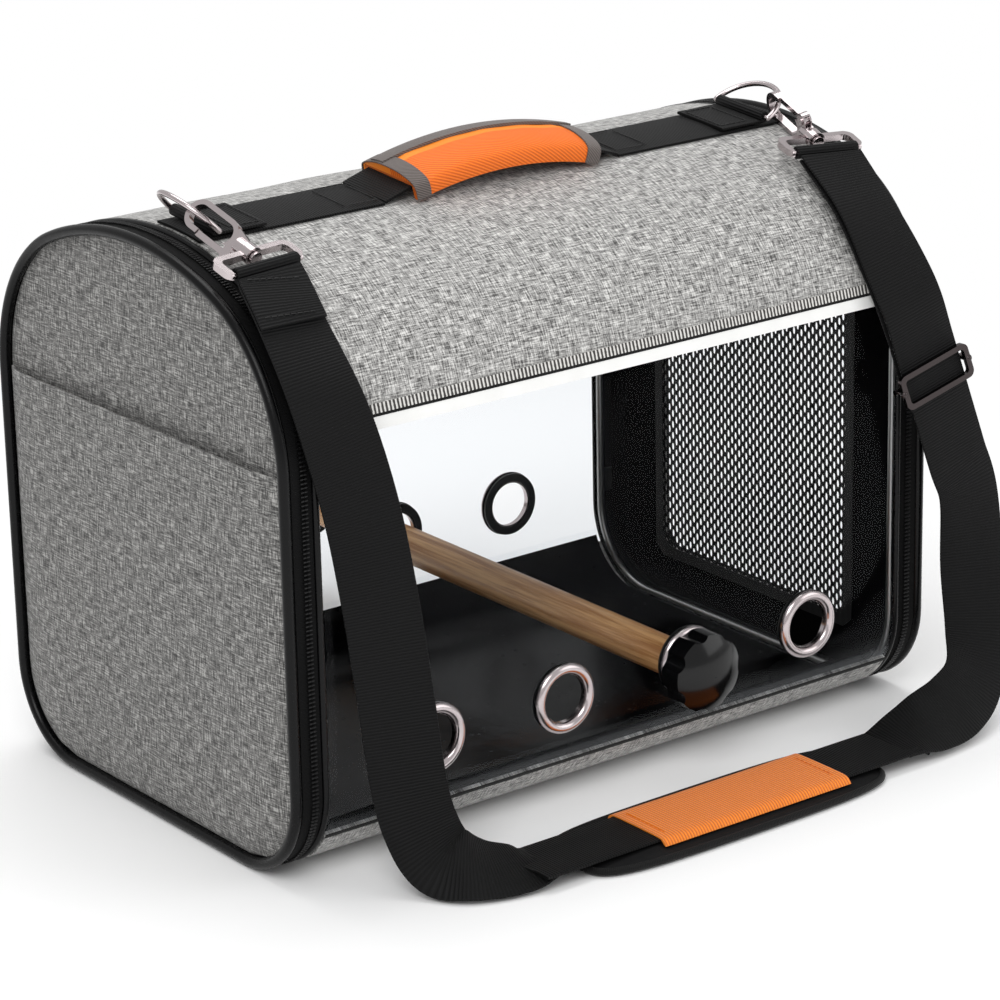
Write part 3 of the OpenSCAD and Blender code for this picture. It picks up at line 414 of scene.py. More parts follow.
def stitches(path, length=3.0, pitch=4.2, r=0.33, up=(0, 0, 1)):
    """A row of stitches: one short bar to each pitch along a path, lifted 0.25 mm and sunk at both ends."""
    p = np.asarray(path, float)
    d = np.concatenate([[0], np.cumsum(np.linalg.norm(np.diff(p, axis=0), axis=1))])
    up = unit(np.broadcast_to(up, p.shape))
    out = []
    for s in np.arange(pitch / 2, d[-1] - length / 2, pitch):
        t = s + length * np.array([-0.5, -0.3, 0.3, 0.5])
        q = np.stack([np.interp(t, d, p[:, k]) for k in range(3)], 1)
        u = unit(np.stack([np.interp(t, d, up[:, k]) for k in range(3)], 1))
        q = q + u * (np.array([-0.3, 1, 1, -0.3]) * 0.25)[:, None]
        out.append(tube(q, r, 6, up=u[1]))
    return joined(*out)


# Finishes


def rgb(code):
    """An sRGB hex code as linear light: up to 0.04045 over 12.92, above it ((c + 0.055) / 1.055) to the power 2.4."""
    c = [int(code[i:i + 2], 16) / 255 for i in (1, 3, 5)]
    return tuple(x / 12.92 if x <= 0.04045 else ((x + 0.055) / 1.055) ** 2.4 for x in c) + (1.0,)


def node(tree, kind, inputs=None, out=0, **settings):
    """Adds a node with its settings, fills or links its sockets by name or number, and returns one of its outputs."""
    n = tree.nodes.new("ShaderNode" + kind)
    for k, v in settings.items():
        setattr(n, k, v)
    for k, v in (inputs or {}).items():
        if isinstance(v, bpy.types.NodeSocket):
            tree.links.new(v, n.inputs[k])
        else:
            n.inputs[k].default_value = v
    return n.outputs[out] if n.outputs else None


def fresh(name):
    """A new material and its emptied node tree."""
    m = bpy.data.materials.new(name)
    m.use_nodes = True
    m.node_tree.nodes.clear()
    return m, m.node_tree


def in_mm(t, uv=True, scale=(1, 1, 1), turn=0.0):
    """The piece's own coordinates in mm, from its UV map or its object, stretched or turned."""
    place = node(t, "TexCoord", out=2 if uv else 3)
    return node(t, "Mapping", {"Vector": place, "Scale": tuple(1000 * s for s in scale), "Rotation": (0, 0, turn)})


def grain(t, scale, detail=2.0, rough=0.5, uv=True):
    """Uneven grain: noise whose spots measure 1 / scale mm along each axis."""
    return node(t, "TexNoise", {"Vector": in_mm(t, uv, scale), "Scale": 1.0, "Detail": detail, "Roughness": rough})


def ribs(t, period, axis=0, turn=0.0):
    """Rounded ribs: half of 1 plus the sine of one coordinate, 0 in the grooves and 1 on the ribs, period in mm."""
    part = node(t, "SeparateXYZ", {"Vector": in_mm(t, turn=turn)}, axis)
    angle = node(t, "Math", {0: part, 1: 2 * math.pi / period}, operation="MULTIPLY")
    wave = node(t, "Math", {0: angle}, operation="SINE")
    return node(t, "Math", {0: wave, 1: 0.5, 2: 0.5}, operation="MULTIPLY_ADD")


def two_tone(t, value, low, high, first, second):
    """The first colour where the value is below low, the second above high, and a smooth step between them."""
    f = node(t, "MapRange", {"Value": value, "From Min": low, "From Max": high}, interpolation_type="SMOOTHSTEP")
    return node(t, "Mix", {0: f, 6: first, 7: second}, 2, data_type="RGBA")


def finish(name, color, rough, height, depth, **more):
    """A surface from functions or values for its colour, roughness and relief; the relief's depth is in mm. The other
    sockets are named with low lines for spaces."""
    m, t = fresh(name)
    color, rough, height = (f(t) if callable(f) else f for f in (color, rough, height))
    bump = node(t, "Bump", {"Height": height, "Distance": depth / 1000, "Strength": 1.0})
    sockets = {k.replace("_", " "): v for k, v in more.items()}
    sockets.update({"Base Color": color, "Roughness": rough, "Normal": bump})
    node(t, "OutputMaterial", {0: node(t, "BsdfPrincipled", sockets)})
    return m


def melange(name, light, mid, dark):
    """Heather cloth: the mean of two stretched noises, one along and one across, takes the dark yarn where it is
    low, the flat grey where it is middling and the pale yarn where it is high. A slow cloud draws part of it back to
    the flat grey."""
    def color(t):
        along, across = grain(t, (0.12, 1.25, 1), 3.0, 0.65), grain(t, (1.25, 0.14, 1), 3.0, 0.65)
        cloud = node(t, "Math", {0: grain(t, (0.02, 0.02, 1)), 1: 0.15}, operation="MULTIPLY")
        half = node(t, "Math", {0: along, 1: 0.5}, operation="MULTIPLY")
        yarn = node(t, "Math", {0: across, 1: 0.5, 2: half}, operation="MULTIPLY_ADD")
        out = two_tone(t, yarn, 0.41, 0.5, rgb(dark), rgb(mid))
        out = two_tone(t, yarn, 0.51, 0.59, out, rgb(light))
        return node(t, "Mix", {0: cloud, 6: out, 7: rgb(mid)}, 2, data_type="RGBA")
    def height(t):
        return node(t, "Math", {0: ribs(t, WEAVE), 1: ribs(t, WEAVE, 1)}, operation="MULTIPLY")
    return finish(name, color, 0.85, height, 0.12, Sheen_Weight=0.15)


def ribbed(name, color, groove_shade, period, turn=0.0, depth=0.25, rough=0.6, sheen=0.2, shine=0.5):
    """Webbing or corded cloth: even ribs, with painted shade darkening them between the crests, their brightness
    varied by a fine noise.
    """
    def col(t):
        r = node(t, "MapRange", {"Value": ribs(t, period, 0, turn), "From Min": 0.05, "From Max": 0.6},
                 interpolation_type="SMOOTHSTEP")
        w = node(t, "Math", {0: grain(t, (0.6, 0.6, 1), 3.0), 1: 0.5, 2: 0.7}, operation="MULTIPLY_ADD")
        f = node(t, "Math", {0: r, 1: w}, operation="MULTIPLY")
        # The darker colour between the crests is painted shade
        return node(t, "Mix", {0: f, 6: rgb(groove_shade), 7: rgb(color)}, 2, data_type="RGBA")
    return finish(name, col, rough, lambda t: ribs(t, period, 0, turn), depth,
                  Sheen_Weight=sheen, Specular_IOR_Level=shine)


def plain(name, color, rough, spot=1.0, depth=0.05, vary=0.12, uv=True, **more):
    """An even material: its colour varies with spots of 20 mm, its roughness with spots of 5 mm, and its relief is a
    noise with spots of the size given."""
    dark = tuple(c * (1 - vary) for c in rgb(color)[:3]) + (1,)
    def col(t):
        return node(t, "Mix", {0: grain(t, (0.05,) * 3, uv=uv), 6: dark, 7: rgb(color)}, 2, data_type="RGBA")
    def gloss(t):
        return node(t, "Math", {0: grain(t, (0.2,) * 3, uv=uv), 1: 0.12, 2: rough - 0.06}, operation="MULTIPLY_ADD")
    return finish(name, col, gloss, lambda t: grain(t, (1 / spot,) * 3, 3.0, uv=uv), depth, **more)


def clear_sheet():
    """Clear sheet: mostly seen through, with a slightly wavy gloss whose share is 0.6 times the fifth power of the
    slant, at most 0.8."""
    m, t = fresh("clear_vinyl")
    bump = node(t, "Bump", {"Height": grain(t, (0.012, 0.02, 1), 1.0), "Distance": 0.0018, "Strength": 1.0})
    gloss = node(t, "BsdfGlossy", {"Color": (0.95, 0.97, 1, 1), "Roughness": 0.06, "Normal": bump})
    through = node(t, "BsdfTransparent", {"Color": (0.975, 0.98, 0.985, 1)})
    slant = node(t, "LayerWeight", {"Blend": 0.5, "Normal": bump}, 1)
    f = node(t, "Math", {0: slant, 1: 5.0}, operation="POWER")
    f = node(t, "Math", {0: f, 1: 0.6, 2: 0.002}, operation="MULTIPLY_ADD")
    f = node(t, "Math", {0: f, 1: 0.8}, operation="MINIMUM")
    node(t, "OutputMaterial", {0: node(t, "MixShader", {0: f, 1: through, 2: gloss})})
    return m


def wood():
    """Turned dowel: a long stretched noise mixes pale and brown grain along Y, and a finer one adds dark pores."""
    def col(t):
        long_grain = grain(t, (0.35, 0.012, 0.35), 6.0, 0.6, uv=False)
        c = two_tone(t, long_grain, 0.35, 0.65, rgb("#a9713c"), rgb("#dcab74"))
        p = node(t, "MapRange", {"Value": grain(t, (1.6, 0.05, 1.6), uv=False), "From Min": 0.55, "From Max": 0.75},
                 interpolation_type="SMOOTHSTEP")
        p = node(t, "Math", {0: p, 1: 0.45}, operation="MULTIPLY")
        return node(t, "Mix", {0: p, 6: c, 7: rgb("#82512a")}, 2, data_type="RGBA")
    return finish("oiled_beech_dowel", col, 0.42, lambda t: grain(t, (1.6, 0.05, 1.6), uv=False), 0.08,
                  Coat_Weight=0.15)


def overlock():
    """Overlocked hem: ribs of 2.3 mm, one to a stitch, broken by noise, show pale thread over a dark edge."""
    def col(t):
        n = node(t, "Math", {0: grain(t, (0.45, 0.5, 1), 3.0), 1: 1.5, 2: 0.1}, operation="MULTIPLY_ADD")
        d = node(t, "Math", {0: ribs(t, HEM_PITCH), 1: n}, operation="MULTIPLY")
        return two_tone(t, d, 0.35, 0.6, rgb("#3a3836"), rgb("#dcdad6"))
    return finish("overlocked_hem", col, 0.8, lambda t: ribs(t, HEM_PITCH), 0.4)


def handle_cloth():
    """Handle cloth: slanting cords down the front, past 33 mm round the section, and before that a smooth orange. The
    cords' grooves are a darker orange, which is painted shade.
    """
    slant, cord = math.radians(60), 1.6
    def lower(t):
        round_it = node(t, "SeparateXYZ", {"Vector": in_mm(t)}, 1)
        return node(t, "MapRange", {"Value": round_it, "From Min": 33.0, "From Max": 34.0},
                    interpolation_type="SMOOTHSTEP")
    def col(t):
        # The darker orange in the cords' grooves is painted shade
        cords = two_tone(t, ribs(t, cord, 0, slant), 0.1, 0.7, rgb("#dd5f04"), rgb("#fb7a10"))
        spots = grain(t, (0.06, 0.06, 1))
        top = node(t, "Mix", {0: spots, 6: rgb("#fb8416"), 7: rgb("#ff9426")}, 2, data_type="RGBA")
        return node(t, "Mix", {0: lower(t), 6: top, 7: cords}, 2, data_type="RGBA")
    def height(t):
        return node(t, "Math", {0: lower(t), 1: ribs(t, cord, 0, slant)}, operation="MULTIPLY")
    return finish("orange_padded_cloth", col, 0.62, height, 0.3)


# The weave of real cloth, about 0.4 mm, is too fine to show, so it is drawn at 0.9 mm, and its yarns at 0.8 mm
WEAVE = 0.9
# Pitch of the hem's stitches, as wide as it needs to be to show
HEM_PITCH = 2.3
# Woven polyester cloth of mixed yarns: dull, with short pale and dark dashes both ways
GREY = melange("heather_grey_cloth", "#dddcd9", "#9d9c9a", "#393837")
# The near door's copy: the same grey cloth, painted darker as painted shade
SHADED_GREY = melange("heather_grey_cloth_painted_shade", "#aeadaa", "#696866", "#1c1b1a")
# Woven nylon webbing: cross ribs of 1.6 mm with a faint sheen on their crests
WEBBING = ribbed("black_nylon_webbing", "#0b0b0c", "#020202", 1.6, depth=0.3, sheen=0.02, shine=0.16)
RIDGE_WEB = ribbed("black_webbing_lengthwise", "#0b0b0c", "#020202", 1.5, sheen=0.02, shine=0.16)
# Brushed lining cloth: dead black, so that the inside of the roof stays dark
LINING = plain("black_lining_cloth", "#040405", 0.9, 8.0, 0.02, Specular_IOR_Level=0.04)
# Stuffed nylon cloth: dull black with soft light along its pillow
PAD_BLACK = plain("black_padded_nylon", "#0e0e0f", 0.7, 0.7, 0.2, Specular_IOR_Level=0.2)
# Rolled vinyl mat: black with broad smooth reflections
MAT = plain("glossy_black_mat_vinyl", "#020203", 0.25, 30.0, 0.5, Specular_IOR_Level=0.06)
# Extruded vinyl piping: black, with one bright line of light along it
PIPING = plain("shiny_black_piping_vinyl", "#030304", 0.28, 3.0, 0.05, Specular_IOR_Level=0.2)
# Woven zip tape: dull black; its real ribs of 0.4 mm are too fine to show, so they are drawn at 0.8 mm
TAPE = ribbed("woven_black_zip_tape", "#0b0b0c", "#050505", 0.8, depth=0.12, rough=0.7, sheen=0.02, shine=0.1)
# Wound nylon coil: black, each turn with a small point of light
COIL = plain("black_nylon_zip_coil", "#080809", 0.4, Specular_IOR_Level=0.3)
# Knitted polyester net: dull black threads
NET = plain("black_polyester_net", "#0a0a0b", 0.6, Specular_IOR_Level=0.2)
# Woven grosgrain trim: nearly black, with cross ribs of 1 mm
TRIM = ribbed("dark_grosgrain_trim", "#131313", "#060606", 1.0, depth=0.15, sheen=0.05, shine=0.15)
# Rolled clear vinyl hem at the windows' top: painted plain white as a painted reflection, with a soft gloss
CLEAR_HEM_PAINTED_WHITE = plain("clear_hem_painted_reflection", "#f4f4f2", 0.4)
# Rolled clear vinyl: seen through, with pale, slightly wavy reflections at a slant
CLEAR = clear_sheet()
# Cut edge sewn over with pale thread: uneven light dashes on a dark line
HEM = overlock()
# Woven twill tape: matt brown with slanting ribs
TWILL = ribbed("brown_twill_tape", "#6b625e", "#453d3a", 1.2, turn=math.radians(52), depth=0.15, rough=0.8)
# Corded cloth: strong matt orange with cords across the strap
SLEEVE = ribbed("orange_corded_cloth", "#fd8d0e", "#d46205", 1.8, depth=0.35, rough=0.7)
# Spun sewing threads: dull, a shade off the cloth that they hold
THREAD = plain("black_sewing_thread", "#141414", 0.6)
ORANGE_THREAD = plain("orange_sewing_thread", "#e8780f", 0.6)
PALE_THREAD = plain("grey_sewing_thread", "#8a8a88", 0.6)
# Plated and polished metal: warm pale and dark mirrors, very slightly uneven
NICKEL = plain("warm_polished_nickel", "#c9bfc0", 0.2, 2.0, 0.012, 0.06, uv=False, Metallic=1.0)
DARK_NICKEL = plain("dark_nickel", "#4a4444", 0.24, 2.0, 0.012, 0.1, uv=False, Metallic=1.0)
# Drawn steel: grey, with blurred reflections
STEEL = plain("plain_steel", "#a3a3a2", 0.35, 1.0, 0.01, uv=False, Metallic=1.0)
# Painted zinc casting: black with a soft gloss
BLACK_METAL = plain("black_painted_zinc", "#161618", 0.3, 1.5, 0.01, uv=False)
# Moulded plastics: a glossy black for the knobs, a duller one for the washers
KNOB = plain("glossy_black_moulded_plastic", "#060607", 0.16, 6.0, 0.02, uv=False, Specular_IOR_Level=0.35)
WASHER = plain("black_moulded_plastic", "#131315", 0.35, uv=False)
# Pressed fibre board: dull grey
BOARD = plain("grey_hard_board", "#5a5a57", 0.7, uv=False)
# Turned beech under a thin satin finish: warm long grain with a soft line of light
WOOD = wood()
# Padded cloth: bright orange, smooth over the top, its fine cords drawn 1.6 mm apart down the front so that they show
ORANGE = handle_cloth()

# Camera: solved from the photo's own straight edges
cam = bpy.data.cameras.new("camera")
cam.sensor_width, cam.lens, cam.clip_end = 36.0, 139.3, 50.0
AZ, EL, ROLL = (math.radians(a) for a in (-37.11, 18.86, -1.19))
back = np.array([math.sin(AZ) * math.cos(EL), -math.cos(AZ) * math.cos(EL), math.sin(EL)])
right = np.array([math.cos(AZ), math.sin(AZ), 0])
up = np.cross(back, right)
right2 = math.cos(ROLL) * right + math.sin(ROLL) * up
up2 = -math.sin(ROLL) * right + math.cos(ROLL) * up
eye = (13.0 * right2 + 119.1 * up2 + 2124.0 * back) / 1000
camera = bpy.data.objects.new("camera", cam)
pose = np.eye(4)
pose[:3, 0], pose[:3, 1], pose[:3, 2], pose[:3, 3] = right2, up2, back, eye
camera.matrix_world = Matrix(pose.tolist())
bpy.context.scene.collection.objects.link(camera)
bpy.context.scene.camera = camera

# Shoulder strap: from the near hook down to the floor, through the pad's sleeve, and up to the far hook
NEAR_BAR, FAR_BAR = np.array([-181.594, -83.401, 306.66]), np.array([178.587, -83.971, 305.206])
NEAR_ROWS, FAR_ROWS = turned([-5, 54, 18], [1, 0, 0]), turned([10, 58, 17], [1, 0, 0])
near_route = [
    ([-182.117, -85.966, 303.454], NEAR_ROWS[1]), ([-186, -111, 284], [1, 0, 0]),
    ([-184, -135, 250], [0.97, -0.2, 0]), ([-172, -141, 200], [0.93, -0.35, 0]),
    ([-164, -144, 150], [0.88, -0.47, 0]), ([-160, -149, 100], [0.85, -0.52, 0]),
    ([-158, -156, 52], [0.82, -0.57, 0.05]), ([-156, -164, 30], [0.8, -0.5, 0.25]),
    ([-152, -173, 18], [0.68, -0.1, 0.6]), ([-143, -181, 15], [0.42, 0.55, 0.62]),
    ([-128, -185, 10.5], [0.12, 0.85, 0.45]), ([-112, -187, 8], [0, 0.96, 0.25]),
    ([-103, -188, 7.7], [0, 1, 0]), ([-95, -188, 7.7], [0, 1, 0])]
far_route = [
    ([124, -188, 7.7], [0, 1, 0]), ([132, -188, 7.7], [0, 1, 0]), ([146, -189, 11], [-0.05, 0.96, 0.22]),
    ([160, -191, 14.5], [-0.15, 0.8, 0.5]), ([178, -191, 19], [-0.35, 0.65, 0.7]),
    ([197, -185, 28], [-0.55, 0.45, 0.7]), ([212, -172, 48], [-0.8, 0.45, 0.35]),
    ([219, -160, 80], [-0.93, 0.33, 0.1])]
SLIDE_FROM, SLIDE_TO = np.array([220.0, -155, 120]), np.array([187.0, -144, 230])
SLIDE_ACROSS = [-0.95, 0.1, -0.295]
slide = [(SLIDE_FROM + (SLIDE_TO - SLIDE_FROM) * i / 5, SLIDE_ACROSS) for i in range(6)]
top_route = [([183, -135, 250], [-0.97, 0.1, -0.2]), ([178, -116, 281], [-1, 0, 0]),
             ([178.429, -88.224, 304.119], -FAR_ROWS[1])]
route = near_route + far_route + slide + top_route
places, widths = [r[0] for r in route], [r[1] for r in route]
strap_mesh, strap_line = band(places, widths)
strap = piece("shoulder_strap", strap_mesh, WEBBING, "carrier", ["strap_webbing"])

# Folds of the strap round both hooks' loops, and the near end's sewn second ply
FOLD_R, PLY_LIFT = 3.45, WEB_T + 0.5
tail_line, tail_widths = smooth(places[:4], 8), smooth(widths[:4], 8)
tail = band(tail_line[:9], tail_widths[:9], lift=PLY_LIFT, steps=1)[0]
folds = piece("strap_end_folds", joined(fold(NEAR_BAR, NEAR_ROWS, FOLD_R), fold(FAR_BAR, FAR_ROWS, FOLD_R), tail),
              WEBBING, "carrier", ["strap_end_loops"])

# The ply that comes back down to the slider's middle bar
slide_run = unit(SLIDE_TO - SLIDE_FROM)
slide_rows = turned(slide_run, SLIDE_ACROSS)
bar_at = np.array([199.0, -148, 190]) - 4.2 * slide_rows[2]
ply_bend = [183.3, -132.4, 249]
ply_route = [(bar_at + 3.35 * slide_run, SLIDE_ACROSS), ([190.4, -141.4, 220], SLIDE_ACROSS),
             (ply_bend, [-0.97, 0.1, -0.2]), ([177.5, -113.8, 279], [-1, 0, 0]),
             ([178.5, -87.1, 301.4], -FAR_ROWS[1])]
ply = band([r[0] for r in ply_route], [r[1] for r in ply_route])[0]
strap_return = piece("strap_return_ply", joined(ply, fold(bar_at, slide_rows, 3.15)), WEBBING, None,
                     ["strap_return"])
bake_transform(strap_return)

# Shoulder pad: boat-shaped, stuffed, with a bound edge; its sleeve holds the strap
PAD_X, PAD_Y, SLEEVE_X = 15.0, -188.0, 22.0


def pad_shape():
    """Stuffed pad: a rounded oblong of power 5, its top a pillow that thins to the bound edge and is
    pressed down by the sleeve's seams; its underside flat on the floor."""
    x = 99.0 * np.sin(np.linspace(-math.pi / 2, math.pi / 2, 120))
    w = 30.5 * np.maximum(1 - np.abs(x / 99.3) ** 5, 1e-4) ** 0.25 * (1 - 0.05 * (x / 99) ** 2)
    a = np.linspace(0, 2 * math.pi, 56, endpoint=False)
    c = np.sign(np.cos(a)) * np.abs(np.cos(a)) ** 0.62
    y = w[:, None] * c[None, :]
    rise = np.abs(np.sin(a)) ** 0.55
    fill = np.maximum(1 - np.abs(x / 99.3) ** 4, 0) ** 0.5
    soft = 1 + 0.07 * waves(x[:, None], y, 42.0, 3)
    press = 1 - 0.35 * np.exp(-((np.abs(y) - 24.0) / 3.0) ** 2) * (np.abs(x[:, None] - 7) < 64)
    top = 2.6 + 3.5 * fill[:, None] * rise[None, :] * soft * press
    z = np.where(np.sin(a)[None, :] >= 0, top, 2.6 - 2.2 * rise[None, :] * fill[:, None])
    rings = np.stack([PAD_X + x[:, None] + 0 * y, PAD_Y + y, z], -1)
    return swept(rings, uv=np.stack([x[:, None] + 0 * y, y], -1))


pad = piece("stuffed_shoulder_pad", pad_shape(), PAD_BLACK, "shoulder_pad", ["shoulder_pad"])
ang = np.linspace(0, 2 * math.pi, 160, endpoint=False)
px, py = (np.sign(f(ang)) * np.abs(f(ang)) ** 0.4 for f in (np.cos, np.sin))
rim = np.stack([PAD_X + 98.4 * px, PAD_Y + 30.0 * py * (1 - 0.05 * px ** 2), np.full_like(px, 2.6)], 1)
pad_edge = piece("pad_edge_binding", tube(rim, 1.5, 10, True, 1.35), TRIM, "shoulder_pad")


def sleeve_shape():
    """Cloth sleeve sewn flat to the pad along both sides and lifted over the strap, a little wavy along it."""
    over = [(23.4, 6.0), (22.6, 7.2), (20.6, 8.9), (17.0, 9.6), (8.5, 9.75), (0, 9.8)]
    under = [(-22.4, 5.9), (-21.0, 6.8), (-19.6, 8.2), (-16.5, 8.7), (0, 8.85)]
    sec = np.vstack([smooth(half + [(-y, z) for y, z in half[-2::-1]], 3) for half in (over, under)])
    x = np.linspace(-62.5, 62.5, 90)
    lift = 0.25 * waves(x[:, None], sec[None, :, 0] * 0.2, 30.0, 5)
    rings = np.stack([SLEEVE_X + x[:, None] + 0 * lift, PAD_Y + sec[None, :, 0] + 0 * lift,
                      sec[None, :, 1] + 0.12 * lift], -1)
    return swept(rings, uv=np.stack(np.broadcast_arrays(x[:, None], sec[None, :, 0]), -1))


sleeve = piece("strap_sleeve", sleeve_shape(), SLEEVE, "shoulder_pad", ["pad_sleeve"])
seams = [stitches([[SLEEVE_X + e, PAD_Y + y, 9.85 - 0.004 * y * y * (abs(y) > 15)] for y in np.linspace(-20, 20, 21)],
                  2.6, 3.4) for e in (-57, 57)]
sleeve_seams = piece("sleeve_seams", joined(*seams), ORANGE_THREAD, "shoulder_pad")

# Body cloth, windows and floor
S_HIGH, S_LOW = s_at_height(WINDOW_HIGH), s_at_height(WINDOW_LOW - 1)


def slack(s, x):
    """The roof's slack: gentle waves that die out, by the root of a sine, towards both end rims."""
    return 0.35 * waves(x, s, 70.0, 1) * np.sin(np.pi * (x + 188) / 376) ** 0.5


piece("roof_cloth", skin(S_HIGH, ROUND - S_HIGH, CLOTH_X, 0.3, 2.3, 130, 110, slack), GREY, "carrier",
      ["roof_panel"])
piece("roof_lining_cloth", skin(S_HIGH, ROUND - S_HIGH, 184, 2.8, 3.4, 90, 20), LINING, "carrier",
      ["roof_lining"])
piece("floor_cloth", skin(-S_LOW, S_LOW, CLOTH_X, 0.0, 2.2, 90, 20), GREY, "carrier", ["floor_panel"])


def window(front):
    """Clear sheet with a hole for each eyelet, cut along the cells that the eyelet's rim covers."""
    s0, s1 = (ROUND - S_HIGH, ROUND - S_LOW) if front else (S_LOW, S_HIGH)
    ns, nx = 90, 152
    s, x = np.linspace(s0, s1, ns), np.linspace(-CLOTH_X, CLOTH_X, nx)
    p, _ = outline_at((s[1:] + s[:-1]) / 2)
    xm = (x[1:] + x[:-1]) / 2
    keep = np.ones((ns - 1, nx - 1), bool)
    for ex, ez in EYELETS:
        keep &= np.hypot(p[:, 1:2] - ez, xm[None, :] - ex) > EYELET_HOLE
    return skin(s0, s1, CLOTH_X, 0.65, 1.45, ns, nx, lambda s, x: 0.12 * waves(x, s, 60.0, 9 + front), keep)


piece("front_clear_window", window(True), CLEAR, "carrier", ["front_window"])
piece("back_clear_window", window(False), CLEAR, "carrier", ["back_window"])


def strip(z0, z1, outer, inner, ripple=None):
    """A strip of tape along both long walls, between two heights."""
    a, b = s_at_height(z0), s_at_height(z1)
    parts = [skin(p, q, TRIM_X, outer, inner, 6, 150, ripple) for p, q in ((a, b), (ROUND - b, ROUND - a))]
    return joined(*parts)


piece("window_foot_trim", strip(23.4, 25.4, -0.6, -0.1), TRIM, "carrier", ["window_bindings"])
piece("window_foot_hem", strip(26.2, 32.5, 0.1, 0.6), CLEAR, "carrier")
# The windows' top hem: its plain white is a painted reflection
piece("window_top_hem_painted_reflection", strip(229.6, 235.8, -0.15, 0.6), CLEAR_HEM_PAINTED_WHITE, "carrier")
piece("window_top_line", strip(235.8, 237.4, -0.45, 0.3), TRIM, "carrier")
piece("roof_cut_hem", strip(237.2, 241.8, -0.75, 0.25, lambda s, x: 0.18 * np.sin(x * 2 * np.pi / HEM_PITCH)), HEM,
      "carrier")

MAT_S = s_at_height(29)
mat = piece("floor_mat_sheet", skin(-MAT_S, MAT_S, 182.8, 5.0, 6.4, 90, 60,
            lambda s, x: 0.25 * waves(x, s, 90.0, 21)), MAT, "carrier", ["floor_mat"])

# Both end rims: outer piping, zip tape and coil on the door; tape, coil and inner piping on the body
inner_piping = joined(*[round_bar(circle_section(-2.0, sx * EDGE_X, 2.0, 12)) for sx in (-1, 1)])
piece("inner_pipings", inner_piping, PIPING, "carrier", ["edge_pipings"])
# The tapes' faces, outward from the outline, and the X at which the two rows of teeth meet
TAPE_LOW, TAPE_TOP = -2.6, -1.6
BODY_ROW, DOOR_ROW = 197.1, 197.3


def hinge_strip(sx):
    """The sewn hinge at the foot of an end: a flat oblong of cloth from the body to the door."""
    y = np.linspace(-80, 80, 3)
    def at(z):
        return np.stack([np.stack([np.full(3, sx * x), y, np.full(3, z)], -1) for x in (193.4, 203.2)])
    return solid(at(1.65), at(2.55), np.stack([np.stack([np.full(3, u), y], -1) for u in (0.0, 10.0)]))


body_tapes = [round_bar(box_section(TAPE_LOW, TAPE_TOP, sx * 192.2, sx * BODY_ROW, 4)) for sx in (-1, 1)]
piece("frame_zip_tape", joined(*body_tapes, hinge_strip(-1), hinge_strip(1)), TAPE, "carrier",
      ["frame_zip_tapes"])
piece("frame_zip_teeth", joined(*[teeth(sx * 195.3, sx * BODY_ROW) for sx in (-1, 1)]), COIL, "carrier",
      ["frame_zip_coils"])
# Distance round the outline below which the door's row is open, under its parked slider
PARKED = s_at_height(76)
for side, sx in (("near", -1), ("far", 1)):
    door_tape = box_section(TAPE_LOW, TAPE_TOP, sx * DOOR_ROW, sx * 203.9, 4)
    piece(side + "_door_piping", round_bar(circle_section(-3.0, sx * 207.0, 3.0, 16)), PIPING, side + "_door",
          [side + "_piping"])
    piece(side + "_door_zip_tape", round_bar(door_tape, open_foot=True), TAPE, side + "_door",
          [side + "_door_tape"])
    piece(side + "_door_zip_teeth", teeth(sx * 199.1, sx * DOOR_ROW, PARKED), COIL, side + "_door",
          [side + "_door_coil"])


# Near door: board, cloth and flat pocket
def near_face(y, z, share):
    """The door's cloth: waves of 0.1 mm that die out towards the sides, by one less the eighth power of the share."""
    x = -(DOOR_FACE - 0.1 + 0.1 * waves(y, z, 90.0, 31) * (1 - share ** 8))
    return x, x + CLOTH_T


# The near door's cloth and pocket take the darker copy of the grey cloth, which is painted shade
piece("near_door_cloth", end_plate(4.5, None, 80, 50, near_face), SHADED_GREY, "near_door", ["near_door_panel"])
piece("near_door_lining", end_plate(4.6, None, 60, 30, lambda y, z, share: (0 * y - 201.45, 0 * y - 200.2)), LINING,
      "near_door", ["near_door_board"])


POCKET_Z, POCKET_IN = 214.0, 6.1


def pocket_face(y, z, share):
    """Flat cloth pocket: sewn down round its sides and foot, and standing a little off the door in the middle."""
    off = (1 - share ** 10) * (1 - np.exp(-(z - 6) / 10.0))
    loose = 0.5 * waves(y, z, 80.0, 41) * off * (0.3 + 0.7 * np.clip(z / POCKET_Z, 0, 1))
    x = -(DOOR_FACE + 1.5 + 4.1 * off + loose)
    return x, x + 1.1


piece("near_door_pocket", end_plate(POCKET_IN, POCKET_Z, 70, 50, pocket_face), SHADED_GREY, "near_door",
      ["near_pocket"])
hem_y = np.linspace(-1, 1, 60) * (half_width(POCKET_Z, POCKET_IN) - 0.4)
hem_x = pocket_face(hem_y, 0 * hem_y + 208.0, hem_y / hem_y[-1])[0] - 0.1
hem_lines = [np.stack([hem_x, hem_y, 0 * hem_y + z], 1) for z in (207.5, 196.0)]
hem_rows = [stitches(line, 2.8, 3.8, 0.3, up=(-1, 0, 0)) for line in hem_lines]
piece("pocket_hem_seam", joined(*hem_rows), PALE_THREAD, "near_door")

# Far door: cloth round an arched net
N = 200
out_curve, lining_curve = (by_angle(np.vstack([q, q[:1]]), N) for q in (OUT_P - 4.5 * OUT_N, OUT_P - 4.7 * OUT_N))
piece("far_door_cloth", ring_plate(mesh_curve(0, N), out_curve, DOOR_FACE, DOOR_FACE - CLOTH_T), GREY, "far_door",
      ["far_door_panel"])
piece("far_door_lining", ring_plate(mesh_curve(0, N), lining_curve, 200.5, 199.8), LINING, "far_door",
      ["far_door_lining"])
edges = [ring_plate(mesh_curve(-1.5, N), mesh_curve(5.0, N), x, x - 0.5, 3) for x in (204.2, 199.7)]
piece("net_edge_tape", joined(*edges), TRIM, "far_door")


